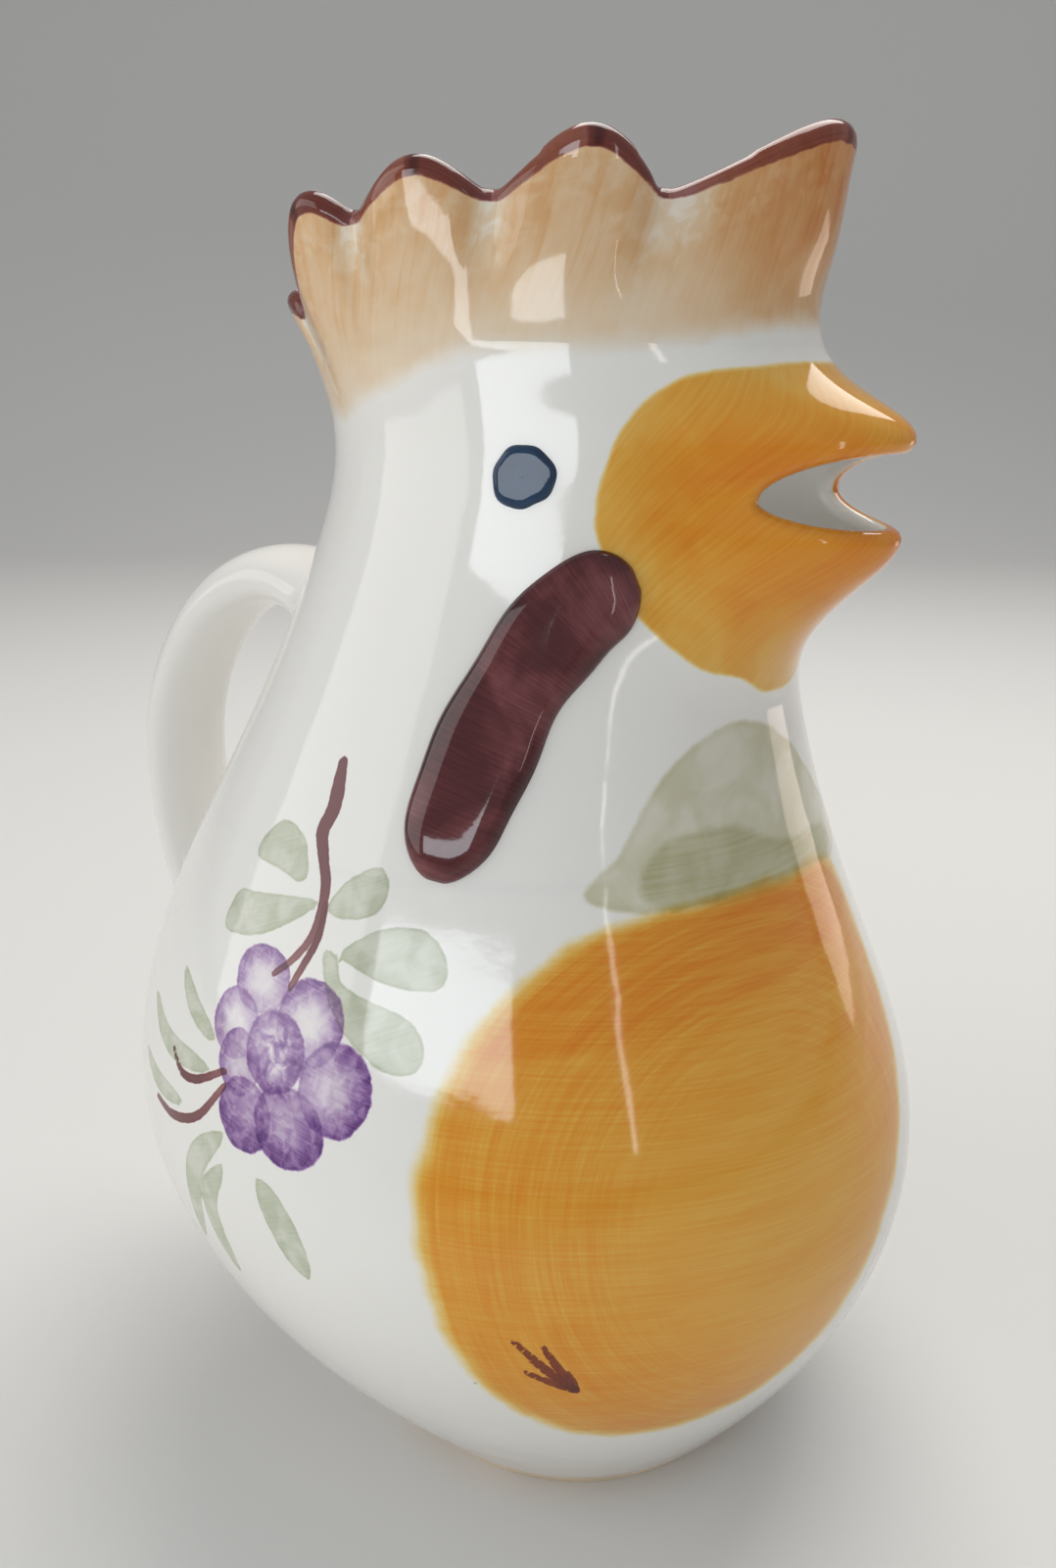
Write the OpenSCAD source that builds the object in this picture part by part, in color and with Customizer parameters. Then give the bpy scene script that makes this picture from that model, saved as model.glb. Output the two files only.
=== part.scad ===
// Rooster pitcher: a hollow glazed earthenware jug in the shape of a rooster.
// X points to the beak, which is the spout, Z is up, and the jug stands on Z = 0.
// The right and left sides of the bird mirror each other across the plane Y = 0.

/* [Foot] */
// Diameter of the ring that the jug stands on
foot_d = 71; // [66:1:76]
// Height of the foot ring
foot_h = 5; // [4:0.5:6]
// Width of the flat, unglazed standing face
foot_land = 6; // [4:0.5:8]

/* [Belly] */
// Diameter of the belly at its widest
belly_d = 152; // [146:1:158]
// Height of the widest place above the table
belly_z = 68; // [65:1:71]
// How far the belly hangs back behind the middle of the foot
belly_back = 12; // [9:1:14]
// Thickness of the fired wall with its glaze
wall = 4; // [3:0.25:5]

/* [Neck] */
// Length of the neck from throat to nape
neck_l = 100; // [96:1:104]
// Width of the neck from side to side
neck_w = 99; // [95:1:103]
// Height of the measured neck over the widest place of the belly
neck_rise = 77; // [74:1:80]

/* [Head] */
// Length of the head from forehead to nape
head_l = 83.5; // [80:0.5:88]
// Width of the head from side to side
head_w = 79; // [76:1:83]
// Height of the measured head over the measured neck
head_rise = 50; // [48:0.5:52]

/* [Comb] */
// Height of the highest lobe over the top of the head
comb_rise = 31; // [28:0.5:35]
// Height of the lowest lobe, at the nape, over the top of the head
nape_rise = 8; // [6:0.5:11]
// Length of the comb at its rim
comb_l = 95; // [91:1:99]
// Width of the comb at its rim
comb_w = 89; // [85:1:93]
// Depth of the notches between the lobes
notch = 9; // [6:0.5:10]
// How far the lobes swell out between their flutes
flute = 2.6; // [1:0.2:4]

/* [Beak] */
// How far the tips of the open beak reach past the forehead
beak_reach = 18.5; // [14:0.5:21]
// Height of the upper tip over the corners of the mouth
upper_tip_rise = 10.5; // [9.5:0.5:11.5]
// Depth of the lower tip under the corners of the mouth
lower_tip_drop = 7; // [6:0.5:8]
// Width of the mouth between its corners
mouth_w = 34; // [28:1:38]
// Depth of the corners of the mouth under the measured head
mouth_drop = 12.5; // [11.5:0.5:13.5]
// Height of the open mouth at its front
mouth_gap = 12.4; // [10:0.2:13]

/* [Handle] */
// Clear gap between the back of the belly and the strap
handle_gap = 12; // [8:1:16]
// Height at which the handle leaves the neck, over the measured neck
handle_top_rise = 12; // [9:1:15]
// Height at which it comes back, over the widest place of the belly
handle_low_rise = 6; // [2:1:10]
// Width of the strap
handle_w = 21; // [17:1:25]
// Thickness of the strap
handle_t = 12; // [9:1:14]
// How many times wider the strap is where it is luted on
root_share = 1.35; // [1.1:0.05:1.5]

/* [Wattles and eyes] */
// Width of each raised wattle
wattle_w = 16.5; // [14:0.5:19]
// Height of the raised clay of a wattle
wattle_rise = 2.4; // [1.4:0.2:3.4]
// Diameter of each eye
eye_d = 9.6; // [8:0.2:11]
// Height of the raised clay of an eye
eye_rise = 1.4; // [0.8:0.2:2]

/* [Hidden] */

// Colours as the eye sees them
glaze_white = "#f1efe8";
biscuit = "#d9c7ad";
comb_tan = "#d8b48d";
beak_yellow = "#e0a12c";
wattle_brown = "#5a2f33";
eye_navy = "#27303f";

// Columns: finer across the beak than round the rest
beak_half = 45;
fine_step = 3;
plain_step = 5;
beak_cols = [for (u = [-beak_half:fine_step:beak_half]) u];
back_cols = [for (u = [beak_half:plain_step:360 - beak_half]) u];
all_cols = concat([for (i = [0:len(beak_cols) - 2]) beak_cols[i]],
                  [for (i = [0:len(back_cols) - 2]) back_cols[i]]);

// Heights up the bird, and the seams where the shells are luted together
belly_r = belly_d / 2;
base_r = foot_d / 2 + foot_h * 0.8;
neck_z = belly_z + neck_rise;
head_z = neck_z + head_rise;
mouth_z = head_z - mouth_drop;
upper_tip_z = mouth_z + upper_tip_rise;
lower_tip_z = mouth_z - lower_tip_drop;
collar_z = neck_z - neck_l * 0.19;
chin_z = neck_z + neck_l * 0.07;
comb_z = head_z + head_l * 0.12;
total_h = comb_z + comb_rise;
nape_lobe_z = comb_z + nape_rise;
mid_comb_z = comb_z + comb_rise * 0.39;

// Stations up the bird: height, then how far it reaches to front, back and side
shank_z = foot_h + (belly_z - foot_h) * 0.333;
shank_r = base_r + (belly_r - base_r) * 0.515;
shank_back = belly_back * 0.355;
breast_z = belly_z + neck_rise * 0.468;
breast_r = belly_r - (belly_r - neck_l / 2) * 0.34;
breast_back = belly_back * 1.28;
neck_back = belly_back * 0.93;
throat_z = neck_z + head_rise / 2;
rim_front = comb_l * 0.458;
side_share = 0.974;
stations = [
    [foot_h, base_r, base_r, base_r],
    [shank_z, shank_r - shank_back, shank_r + shank_back, shank_r * side_share],
    [belly_z, belly_r - belly_back, belly_r + belly_back, belly_r * side_share],
    [breast_z, breast_r - breast_back, breast_r + breast_back, breast_r * side_share],
    [neck_z, neck_l / 2 - neck_back, neck_l / 2 + neck_back, neck_w / 2],
    [throat_z, neck_l * 0.37, neck_l * 0.498, neck_w * 0.42],
    [head_z, head_l * 0.461, head_l * 0.539, head_w / 2],
    [comb_z, head_l * 0.455, head_l * 0.587, head_w * 0.512],
    [mid_comb_z, rim_front * 0.935, comb_l * 0.55, comb_w * 0.485],
    [total_h, rim_front, comb_l - rim_front, comb_w / 2]];

// How much of the beak's reach each height has
jaw_drop = lower_tip_z - chin_z;
brow_rise = comb_z - upper_tip_z;
reach_shares = [
    [chin_z - jaw_drop * 0.5, [0]],
    [chin_z, [0.06]],
    [chin_z + jaw_drop * 0.34, [0.30]],
    [chin_z + jaw_drop * 0.68, [0.72]],
    [lower_tip_z, [1.04]],
    [(lower_tip_z + upper_tip_z) / 2, [0.93]],
    [upper_tip_z, [1]],
    [upper_tip_z + brow_rise * 0.5, [0.52]],
    [comb_z, [0.16]],
    [comb_z + brow_rise * 0.6, [0]],
    [comb_z + brow_rise * 1.2, [0]]];

// Angles of the notches from the beak round to the nape, in degrees
notch_angles = [44, 74, 100, 126, 153];
// Height of each lobe between the nape's and the forehead's
lobe_shares = [1, 0.89, 0.74, 0.54, 0.02, -0.08];
// Depth of each notch against the deepest one
notch_shares = [1, 0.72, 0.52, 0.97, 0.45];
lobe_angles = concat([-notch_angles[0]], notch_angles, [360 - notch_angles[4]]);
prow_pinch = 0.30;
inner_share = 0.6;

// Rows of facets in each band
belly_rows = 11;
neck_rows = 3;
jaw_rows = 7;
brow_rows = 6;
comb_rows = 6;
nudge = wall / 100;

// A smooth curve through points: the sweep down and the sweep back up
function sweep_down(x, y, i, done) =
    i >= len(x) - 1 ? done :
    let (before = x[i] - x[i - 1],
         after = x[i + 1] - x[i],
         pivot = 2 * (before + after) - before * done[i - 1][0],
         kink = 6 * ((y[i + 1] - y[i]) / after - (y[i] - y[i - 1]) / before))
    sweep_down(x, y, i + 1,
               concat(done, [[after / pivot, (kink - before * done[i - 1][1]) / pivot]]));
function sweep_up(down, i, done) =
    i < 1 ? concat([done[0] * 0], done) :
    sweep_up(down, i - 1, concat([down[i][1] - down[i][0] * done[0]], done));
function bends(x, y) =
    sweep_up(sweep_down(x, y, 1, [[0, y[0] * 0]]), len(x) - 2, [y[0] * 0]);
function spot(x, t, i) = i >= len(x) - 2 || t < x[i + 1] ? i : spot(x, t, i + 1);
function curve_at(x, y, m, t) =
    let (i = spot(x, t, 0),
         h = x[i + 1] - x[i],
         a = (x[i + 1] - t) / h,
         b = 1 - a)
    a * y[i] + b * y[i + 1] + ((pow(a, 3) - a) * m[i] + (pow(b, 3) - b) * m[i + 1]) * h * h / 6;

form_z = [for (s = stations) s[0]];
form = [for (s = stations) [s[1], s[2], s[3]]];
form_bends = bends(form_z, form);
reach_z = [for (s = reach_shares) s[0]];
reach = [for (s = reach_shares) s[1]];
reach_bends = bends(reach_z, reach);

// Angle from the beak, 0 to 180 on either side
function from_beak(u) = abs(u - 360 * floor((u + 180) / 360));
function beak_reach_at(z) =
    z <= reach_z[0] || z >= reach_z[len(reach_z) - 1] ? 0 :
    beak_reach * curve_at(reach_z, reach, reach_bends, z)[0];
function beak_fade(u) = from_beak(u) < beak_half ? pow(cos(90 * from_beak(u) / beak_half), 2) : 0;

// Lobes of the comb: which one, how far across it, and the height of the rim
function lobe_of(d) = spot(lobe_angles, d, 0);
function across_lobe(d) =
    let (i = lobe_of(d)) (d - lobe_angles[i]) / (lobe_angles[i + 1] - lobe_angles[i]);
function lobe_top(i) = nape_lobe_z + (total_h - nape_lobe_z) * lobe_shares[i];
function notch_z(i) = (lobe_top(i) + lobe_top(i + 1)) / 2 - notch * notch_shares[i];
function rim_z(u) =
    let (d = from_beak(u),
         i = lobe_of(d),
         t = across_lobe(d),
         low = notch_z(max(i - 1, 0)),
         high = notch_z(min(i, len(notch_angles) - 1)))
    low + (high - low) * t + (lobe_top(i) - (low + high) / 2) * pow(sin(180 * t), 1.2);

// The outer skin of the bird at an angle from the beak and a height
function skin(u, z) =
    let (f = curve_at(form_z, form, form_bends, z),
         q = max(0, (z - comb_z) / comb_rise),
         swell = (sin(180 * across_lobe(from_beak(u))) - inner_share) * flute * pow(q, 1.4) * 1.6)
    [(f[0] - f[1]) / 2 + ((f[0] + f[1]) / 2 + swell) * cos(u) + beak_reach_at(z) * beak_fade(u),
     f[2] * sin(u) * (1 - prow_pinch * min(1, q * 1.3) * cos(u)) + swell * sin(u),
     z];
function skin_normal(u, z) =
    let (n = cross(skin(u + fine_step / 4, z) - skin(u - fine_step / 4, z),
                   skin(u, z + nudge) - skin(u, z - nudge)))
    n / norm(n);
function raised(u, z, rise) = skin(u, z) + rise * skin_normal(u, z);

// The lips of the mouth meet at its corners and stand apart between them
mouth_half = asin(mouth_w / head_w);
upper_lip_share = 0.59;
function mouth_open(u) = pow(max(0, 1 - pow(from_beak(u) / mouth_half, 2)), 0.45);
function upper_lip_z(u) = mouth_z + mouth_gap * upper_lip_share * mouth_open(u);
function lower_lip_z(u) = mouth_z - mouth_gap * (1 - upper_lip_share) * mouth_open(u);

function between(a, b, t) = a + (b - a) * t;
function belly_height(t) = between(foot_h, collar_z, t);
function neck_height(t) = between(collar_z, chin_z, t);
function jaw_height(u, t) = between(chin_z, lower_lip_z(u), t);
function brow_height(u, t) = between(upper_lip_z(u), comb_z, t);
function comb_height(u, t) = between(comb_z, rim_z(u), t);

// Rows of heights at each column, for a shell or a slice of one
function steps(n) = [for (i = [0:n]) i / n];
function jaw_grid(cols) = [for (t = steps(jaw_rows)) [for (u = cols) [u, jaw_height(u, t)]]];
function brow_grid(cols) = [for (t = steps(brow_rows)) [for (u = cols) [u, brow_height(u, t)]]];
function comb_grid(cols) = [for (t = steps(comb_rows)) [for (u = cols) [u, comb_height(u, t)]]];
function tail_of(rows) = [for (i = [1:len(rows) - 1]) rows[i]];

// A closed wall between two grids of points, as a full ring or as a slice
module wall_between(outer, inner, ring) {
    rows = len(outer);
    n = len(outer[0]);
    points = concat([for (row = outer) each row], [for (row = inner) each row]);
    far = rows * n;
    last = ring ? n - 1 : n - 2;
    function quad(a, b, c, d) = [[a, b, c], [a, c, d]];
    faces = concat(
        [for (r = [0:rows - 2]) for (i = [0:last])
            let (j = (i + 1) % n, a = r * n + i, b = r * n + j)
            each concat(quad(a, a + n, b + n, b), quad(far + a, far + b, far + b + n, far + a + n))],
        [for (i = [0:last])
            let (j = (i + 1) % n, top = (rows - 1) * n)
            each concat(quad(i, j, far + j, far + i),
                        quad(top + i, far + top + i, far + top + j, top + j))],
        ring ? [] :
        [for (r = [0:rows - 2])
            let (a = r * n, b = r * n + n - 1)
            each concat(quad(a, far + a, far + a + n, a + n), quad(b, b + n, far + b + n, far + b))]);
    polyhedron(points, faces);
}

module shell_of(grid, ring) {
    outer = [for (row = grid) [for (p = row) skin(p[0], p[1])]];
    inner = [for (row = grid) [for (p = row) raised(p[0], p[1], -wall)]];
    wall_between(outer, inner, ring);
}

module foot_ring() {
    inner_r = foot_d / 2 - foot_land;
    color(biscuit)
        rotate_extrude($fn = 96)
            polygon([[inner_r, 0], [foot_d / 2, 0], [base_r, foot_h],
                     [inner_r - foot_h / 4, foot_h]]);
}

// The belly is thrown with its floor, so its two grids close as one bowl
module belly_shell() {
    n = len(all_cols);
    outer = [for (t = steps(belly_rows)) [for (u = all_cols) skin(u, belly_height(t))]];
    inner = [for (t = steps(belly_rows)) [for (u = all_cols)
        let (p = raised(u, belly_height(t), -wall)) [p[0], p[1], max(p[2], foot_h + wall)]]];
    top = belly_rows * n;
    far = (belly_rows + 1) * n;
    function quad(a, b, c, d) = [[a, b, c], [a, c, d]];
    faces = concat(
        [for (r = [0:belly_rows - 1]) for (i = [0:n - 1])
            let (j = (i + 1) % n, a = r * n + i, b = r * n + j)
            each concat(quad(a, a + n, b + n, b), quad(far + a, far + b, far + b + n, far + a + n))],
        [for (i = [0:n - 1])
            let (j = (i + 1) % n)
            each quad(top + i, far + top + i, far + top + j, top + j)],
        [[for (i = [0:n - 1]) i], [for (i = [0:n - 1]) far + n - 1 - i]]);
    color(glaze_white)
        polyhedron(concat([for (row = outer) each row], [for (row = inner) each row]), faces);
}

module neck_shell() {
    color(glaze_white)
        shell_of([for (t = steps(neck_rows)) [for (u = all_cols) [u, neck_height(t)]]], true);
}

// The head runs round from one cheek to the other; the beak fills its front
module head_shell() {
    color(glaze_white)
        shell_of(concat(jaw_grid(back_cols), tail_of(brow_grid(back_cols))), false);
}

module comb_crown() {
    color(comb_tan)
        shell_of(comb_grid(all_cols), true);
}

module upper_beak() {
    color(beak_yellow)
        shell_of(brow_grid(beak_cols), false);
}

module lower_beak() {
    color(beak_yellow)
        shell_of(jaw_grid(beak_cols), false);
}

// The strap follows a smooth path from the nape down to the belly
strap_sides = 20;
strap_rings = 26;
function nape_at(z) = curve_at(form_z, form, form_bends, z)[1];
function nape_x(y, z) =
    let (f = curve_at(form_z, form, form_bends, z))
    (f[0] - f[1]) / 2 - (f[0] + f[1]) / 2 * sqrt(1 - pow(y / f[2], 2));
handle_top_z = neck_z + handle_top_rise;
handle_low_z = belly_z + handle_low_rise;
handle_h = handle_top_z - handle_low_z;
strap_x = belly_r + belly_back + handle_gap + handle_t / 2;
top_gap = strap_x - nape_at(handle_top_z);
low_gap = strap_x - nape_at(handle_low_z);
strap_path = [
    [-nape_at(handle_top_z), handle_top_z],
    [-strap_x + top_gap * 0.76, handle_top_z + handle_h * 0.05],
    [-strap_x + top_gap * 0.48, handle_top_z + handle_h * 0.02],
    [-strap_x + top_gap * 0.22, handle_top_z - handle_h * 0.11],
    [-strap_x + top_gap * 0.04, handle_top_z - handle_h * 0.31],
    [-strap_x, handle_top_z - handle_h * 0.53],
    [-strap_x + low_gap * 0.15, handle_top_z - handle_h * 0.73],
    [-strap_x + low_gap * 0.5, handle_top_z - handle_h * 0.89],
    [-nape_at(handle_low_z), handle_low_z]];
strap_t = steps(len(strap_path) - 1);
strap_bends = bends(strap_t, strap_path);
function strap_at(t) = curve_at(strap_t, strap_path, strap_bends, t);
function strap_ring(t) =
    let (p = strap_at(t),
         d = strap_at(min(1, t + 0.01)) - strap_at(max(0, t - 0.01)),
         along = d / norm(d),
         grow = 1 + (root_share - 1) * (exp(-t / 0.07) + exp(-(1 - t) / 0.07)))
    [for (k = [0:strap_sides - 1])
        let (v = 360 * k / strap_sides,
             out = cos(v) * handle_t / 2 * grow,
             y = sin(v) * handle_w / 2 * grow,
             q = [p[0] - along[1] * out, y, p[1] + along[0] * out])
        t == 0 || t == 1 ? [nape_x(q[1], q[2]), q[1], q[2]] : q];
module handle() {
    rings = [for (t = steps(strap_rings)) strap_ring(t)];
    n = strap_sides;
    last = strap_rings * n;
    ends = [[strap_at(0)[0], 0, strap_at(0)[1]], [strap_at(1)[0], 0, strap_at(1)[1]]];
    hub = last + n;
    faces = concat(
        [for (r = [0:strap_rings - 1]) for (i = [0:n - 1])
            let (j = (i + 1) % n, a = r * n + i, b = r * n + j)
            each [[a, b, b + n], [a, b + n, a + n]]],
        [for (i = [0:n - 1]) [hub, (i + 1) % n, i]],
        [for (i = [0:n - 1]) [hub + 1, last + i, last + (i + 1) % n]]);
    color(glaze_white)
        polyhedron(concat([for (ring = rings) each ring], ends), faces);
}

// Where a point beside the skin belongs on it: angle from the beak and height
function on_skin(q) =
    let (f = curve_at(form_z, form, form_bends, q[2]))
    [atan2(q[1] / f[2], (q[0] - (f[0] - f[1]) / 2) / ((f[0] + f[1]) / 2)), q[2]];

// A wattle is a raised tongue of clay that hangs from the cheek down the neck
wattle_top_z = mouth_z - (mouth_z - neck_z) * 0.30;
wattle_low_z = neck_z - neck_rise * 0.24;
wattle_h = wattle_top_z - wattle_low_z;
wattle_path = [
    [-42, wattle_top_z],
    [-50, wattle_top_z - wattle_h * 0.07],
    [-57, wattle_top_z - wattle_h * 0.20],
    [-62.5, wattle_top_z - wattle_h * 0.39],
    [-66, wattle_top_z - wattle_h * 0.61],
    [-68.5, wattle_top_z - wattle_h * 0.82],
    [-69.5, wattle_low_z]];
wattle_rows = 18;
wattle_strip_count = 8;
wattle_t = steps(len(wattle_path) - 1);
wattle_bends = bends(wattle_t, wattle_path);
function wattle_middle(t) =
    let (p = curve_at(wattle_t, wattle_path, wattle_bends, t)) skin(p[0], p[1]);
function wattle_spread(t) = pow(1 - pow(abs(2 * t - 1), 4) * 0.97, 0.5);
function wattle_place(t, w) =
    let (c = wattle_middle(t),
         p = on_skin(c),
         d = wattle_middle(min(1, t + 0.02)) - wattle_middle(max(0, t - 0.02)),
         side = cross(skin_normal(p[0], p[1]), d / norm(d)))
    on_skin(c + side * w * wattle_spread(t) * wattle_w / 2);
function wattle_swell(w) = 0.12 + 0.88 * pow(1 - pow(abs(w), 2.4), 0.6);

module right_wattle() {
    grid = [for (t = steps(wattle_rows)) [for (k = [0:wattle_strip_count])
        let (w = 2 * k / wattle_strip_count - 1, p = wattle_place(t, w)) [p[0], p[1], w]]];
    outer = [for (row = grid) [for (p = row)
        raised(p[0], p[1], wattle_rise * wattle_swell(p[2]))]];
    inner = [for (row = grid) [for (p = row) skin(p[0], p[1])]];
    color(wattle_brown)
        wall_between(outer, inner, false);
}

module left_wattle() {
    mirror([0, 1, 0]) right_wattle();
}

// An eye is a low dome of clay on the side of the head
eye_angle = -69;
eye_z = mouth_z + mouth_drop * 0.3;
eye_sides = 24;
eye_rings = 4;
module right_eye() {
    n = eye_sides;
    c = skin(eye_angle, eye_z);
    normal = skin_normal(eye_angle, eye_z);
    across = cross([0, 0, 1], normal) / norm(cross([0, 0, 1], normal));
    up = cross(normal, across);
    function dot_at(r, v) = on_skin(c + (across * cos(v) + up * sin(v)) * r * eye_d / 2);
    rims = [for (k = [1:eye_rings]) [for (i = [0:n - 1])
        let (r = k / eye_rings, p = dot_at(r, 360 * i / n))
        raised(p[0], p[1], eye_rise * (0.15 + 0.85 * sqrt(1 - r * r)))]];
    seat = [for (i = [0:n - 1]) let (p = dot_at(1, 360 * i / n)) skin(p[0], p[1])];
    points = concat([for (ring = rims) each ring], seat, [c + normal * eye_rise, c]);
    hub = n * (eye_rings + 1);
    faces = concat(
        [for (i = [0:n - 1]) [hub, (i + 1) % n, i]],
        [for (k = [0:eye_rings - 1]) for (i = [0:n - 1])
            let (j = (i + 1) % n, a = k * n)
            each [[a + i, a + j, a + n + j], [a + i, a + n + j, a + n + i]]],
        [for (i = [0:n - 1]) [hub + 1, hub - n + i, hub - n + (i + 1) % n]]);
    color(eye_navy)
        polyhedron(points, faces);
}

module left_eye() {
    mirror([0, 1, 0]) right_eye();
}

foot_ring();
belly_shell();
neck_shell();
head_shell();
comb_crown();
upper_beak();
lower_beak();
handle();
right_wattle();
left_wattle();
right_eye();
left_eye();
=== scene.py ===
"""The looks of a rooster pitcher: hand-painted glazed earthenware.

Lengths are in millimetres until a mesh is made, as in the part's source.
"""
import math

import bpy
import numpy as np
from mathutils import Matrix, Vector


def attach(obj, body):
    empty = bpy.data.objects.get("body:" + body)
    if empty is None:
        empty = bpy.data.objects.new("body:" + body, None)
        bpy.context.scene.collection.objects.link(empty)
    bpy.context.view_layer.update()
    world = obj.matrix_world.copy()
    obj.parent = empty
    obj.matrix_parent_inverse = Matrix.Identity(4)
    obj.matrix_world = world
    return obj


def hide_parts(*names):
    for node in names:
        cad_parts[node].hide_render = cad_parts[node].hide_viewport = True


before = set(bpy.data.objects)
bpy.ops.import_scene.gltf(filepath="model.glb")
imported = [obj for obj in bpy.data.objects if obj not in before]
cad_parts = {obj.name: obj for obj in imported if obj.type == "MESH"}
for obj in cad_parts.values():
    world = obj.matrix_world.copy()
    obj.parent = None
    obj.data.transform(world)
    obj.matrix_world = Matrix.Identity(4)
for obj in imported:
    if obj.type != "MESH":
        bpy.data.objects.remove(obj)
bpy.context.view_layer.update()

MM = 0.001

# Driving sizes of the jug, the same as the part's own
FOOT_D, FOOT_H = 71.0, 5.0
BELLY_D, BELLY_Z, BELLY_BACK = 152.0, 68.0, 12.0
WALL = 4.0
NECK_L, NECK_W, NECK_RISE = 100.0, 99.0, 77.0
HEAD_L, HEAD_W, HEAD_RISE = 83.5, 79.0, 50.0
COMB_RISE, NAPE_RISE = 31.0, 8.0
COMB_L, COMB_W = 95.0, 89.0
NOTCH, FLUTE = 9.0, 2.6
BEAK_REACH, UPPER_TIP_RISE, LOWER_TIP_DROP = 18.5, 10.5, 7.0
MOUTH_W, MOUTH_DROP, MOUTH_GAP = 34.0, 12.5, 12.4
HANDLE_GAP, HANDLE_TOP_RISE, HANDLE_LOW_RISE = 12.0, 12.0, 6.0
HANDLE_W, HANDLE_T, ROOT_SHARE = 21.0, 12.0, 1.35
WATTLE_W, WATTLE_RISE = 16.5, 2.4
EYE_D, EYE_RISE = 9.6, 1.4

# Heights and stations worked out from them, as in the part's source
BELLY_R = BELLY_D / 2
BASE_R = FOOT_D / 2 + FOOT_H * 0.8
NECK_Z = BELLY_Z + NECK_RISE
HEAD_Z = NECK_Z + HEAD_RISE
MOUTH_Z = HEAD_Z - MOUTH_DROP
UPPER_TIP_Z = MOUTH_Z + UPPER_TIP_RISE
LOWER_TIP_Z = MOUTH_Z - LOWER_TIP_DROP
COLLAR_Z = NECK_Z - NECK_L * 0.19
CHIN_Z = NECK_Z + NECK_L * 0.07
COMB_Z = HEAD_Z + HEAD_L * 0.12
TOTAL_H = COMB_Z + COMB_RISE
NAPE_LOBE_Z = COMB_Z + NAPE_RISE
BEAK_HALF = 45.0
SIDE_SHARE = 0.974


def stations():
    """Height, then the reach to front, back and side, from the foot to the rim."""
    shank_z = FOOT_H + (BELLY_Z - FOOT_H) * 0.333
    shank_r = BASE_R + (BELLY_R - BASE_R) * 0.515
    shank_back = BELLY_BACK * 0.355
    breast_z = BELLY_Z + NECK_RISE * 0.468
    breast_r = BELLY_R - (BELLY_R - NECK_L / 2) * 0.34
    breast_back = BELLY_BACK * 1.28
    neck_back = BELLY_BACK * 0.93
    rim_front = COMB_L * 0.458
    mid_comb_z = COMB_Z + COMB_RISE * 0.39
    return np.array([
        [FOOT_H, BASE_R, BASE_R, BASE_R],
        [shank_z, shank_r - shank_back, shank_r + shank_back, shank_r * SIDE_SHARE],
        [BELLY_Z, BELLY_R - BELLY_BACK, BELLY_R + BELLY_BACK, BELLY_R * SIDE_SHARE],
        [breast_z, breast_r - breast_back, breast_r + breast_back, breast_r * SIDE_SHARE],
        [NECK_Z, NECK_L / 2 - neck_back, NECK_L / 2 + neck_back, NECK_W / 2],
        [(NECK_Z + HEAD_Z) / 2, NECK_L * 0.37, NECK_L * 0.498, NECK_W * 0.42],
        [HEAD_Z, HEAD_L * 0.461, HEAD_L * 0.539, HEAD_W / 2],
        [COMB_Z, HEAD_L * 0.455, HEAD_L * 0.587, HEAD_W * 0.512],
        [mid_comb_z, rim_front * 0.935, COMB_L * 0.55, COMB_W * 0.485],
        [TOTAL_H, rim_front, COMB_L - rim_front, COMB_W / 2]])


def reach_shares():
    """Height, then the share of the beak's reach there."""
    jaw = LOWER_TIP_Z - CHIN_Z
    brow = COMB_Z - UPPER_TIP_Z
    return np.array([
        [CHIN_Z - jaw * 0.5, 0], [CHIN_Z, 0.06], [CHIN_Z + jaw * 0.34, 0.30],
        [CHIN_Z + jaw * 0.68, 0.72], [LOWER_TIP_Z, 1.04],
        [(LOWER_TIP_Z + UPPER_TIP_Z) / 2, 0.93], [UPPER_TIP_Z, 1],
        [UPPER_TIP_Z + brow * 0.5, 0.52], [COMB_Z, 0.16],
        [COMB_Z + brow * 0.6, 0], [COMB_Z + brow * 1.2, 0]])


class Curve:
    """A natural cubic curve through rows of values, the one that the source uses."""

    def __init__(self, x, y):
        self.x, self.y = np.asarray(x, float), np.asarray(y, float)
        n = len(self.x)
        a = np.zeros((n, n))
        r = np.zeros_like(self.y)
        a[0, 0] = a[-1, -1] = 1
        for i in range(1, n - 1):
            h0, h1 = self.x[i] - self.x[i - 1], self.x[i + 1] - self.x[i]
            a[i, i - 1:i + 2] = h0, 2 * (h0 + h1), h1
            rise, fall = self.y[i + 1] - self.y[i], self.y[i] - self.y[i - 1]
            r[i] = 6 * (rise / h1 - fall / h0)
        self.m = np.linalg.solve(a, r)

    def __call__(self, t):
        t = np.asarray(t, float)
        i = np.clip(np.searchsorted(self.x, t, side="right") - 1, 0, len(self.x) - 2)
        h = self.x[i + 1] - self.x[i]
        a = (self.x[i + 1] - t) / h
        b = 1 - a
        if self.y.ndim > 1:
            h, a, b = h[..., None], a[..., None], b[..., None]
        bend = (a ** 3 - a) * self.m[i] + (b ** 3 - b) * self.m[i + 1]
        return a * self.y[i] + b * self.y[i + 1] + bend * h * h / 6


FORM = Curve(stations()[:, 0], stations()[:, 1:])
REACH = Curve(reach_shares()[:, 0], reach_shares()[:, 1])

# The comb: angles of its notches from the beak to the nape, heights of its lobes, depths
NOTCH_ANGLES = np.array([44.0, 74.0, 100.0, 126.0, 153.0])
LOBE_SHARES = np.array([1, 0.89, 0.74, 0.54, 0.02, -0.08])
NOTCH_SHARES = np.array([1, 0.72, 0.52, 0.97, 0.45])
LOBE_EDGES = np.concatenate([[-NOTCH_ANGLES[0]], NOTCH_ANGLES, [360 - NOTCH_ANGLES[-1]]])
PROW_PINCH = 0.30
INNER_SHARE = 0.6


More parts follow.
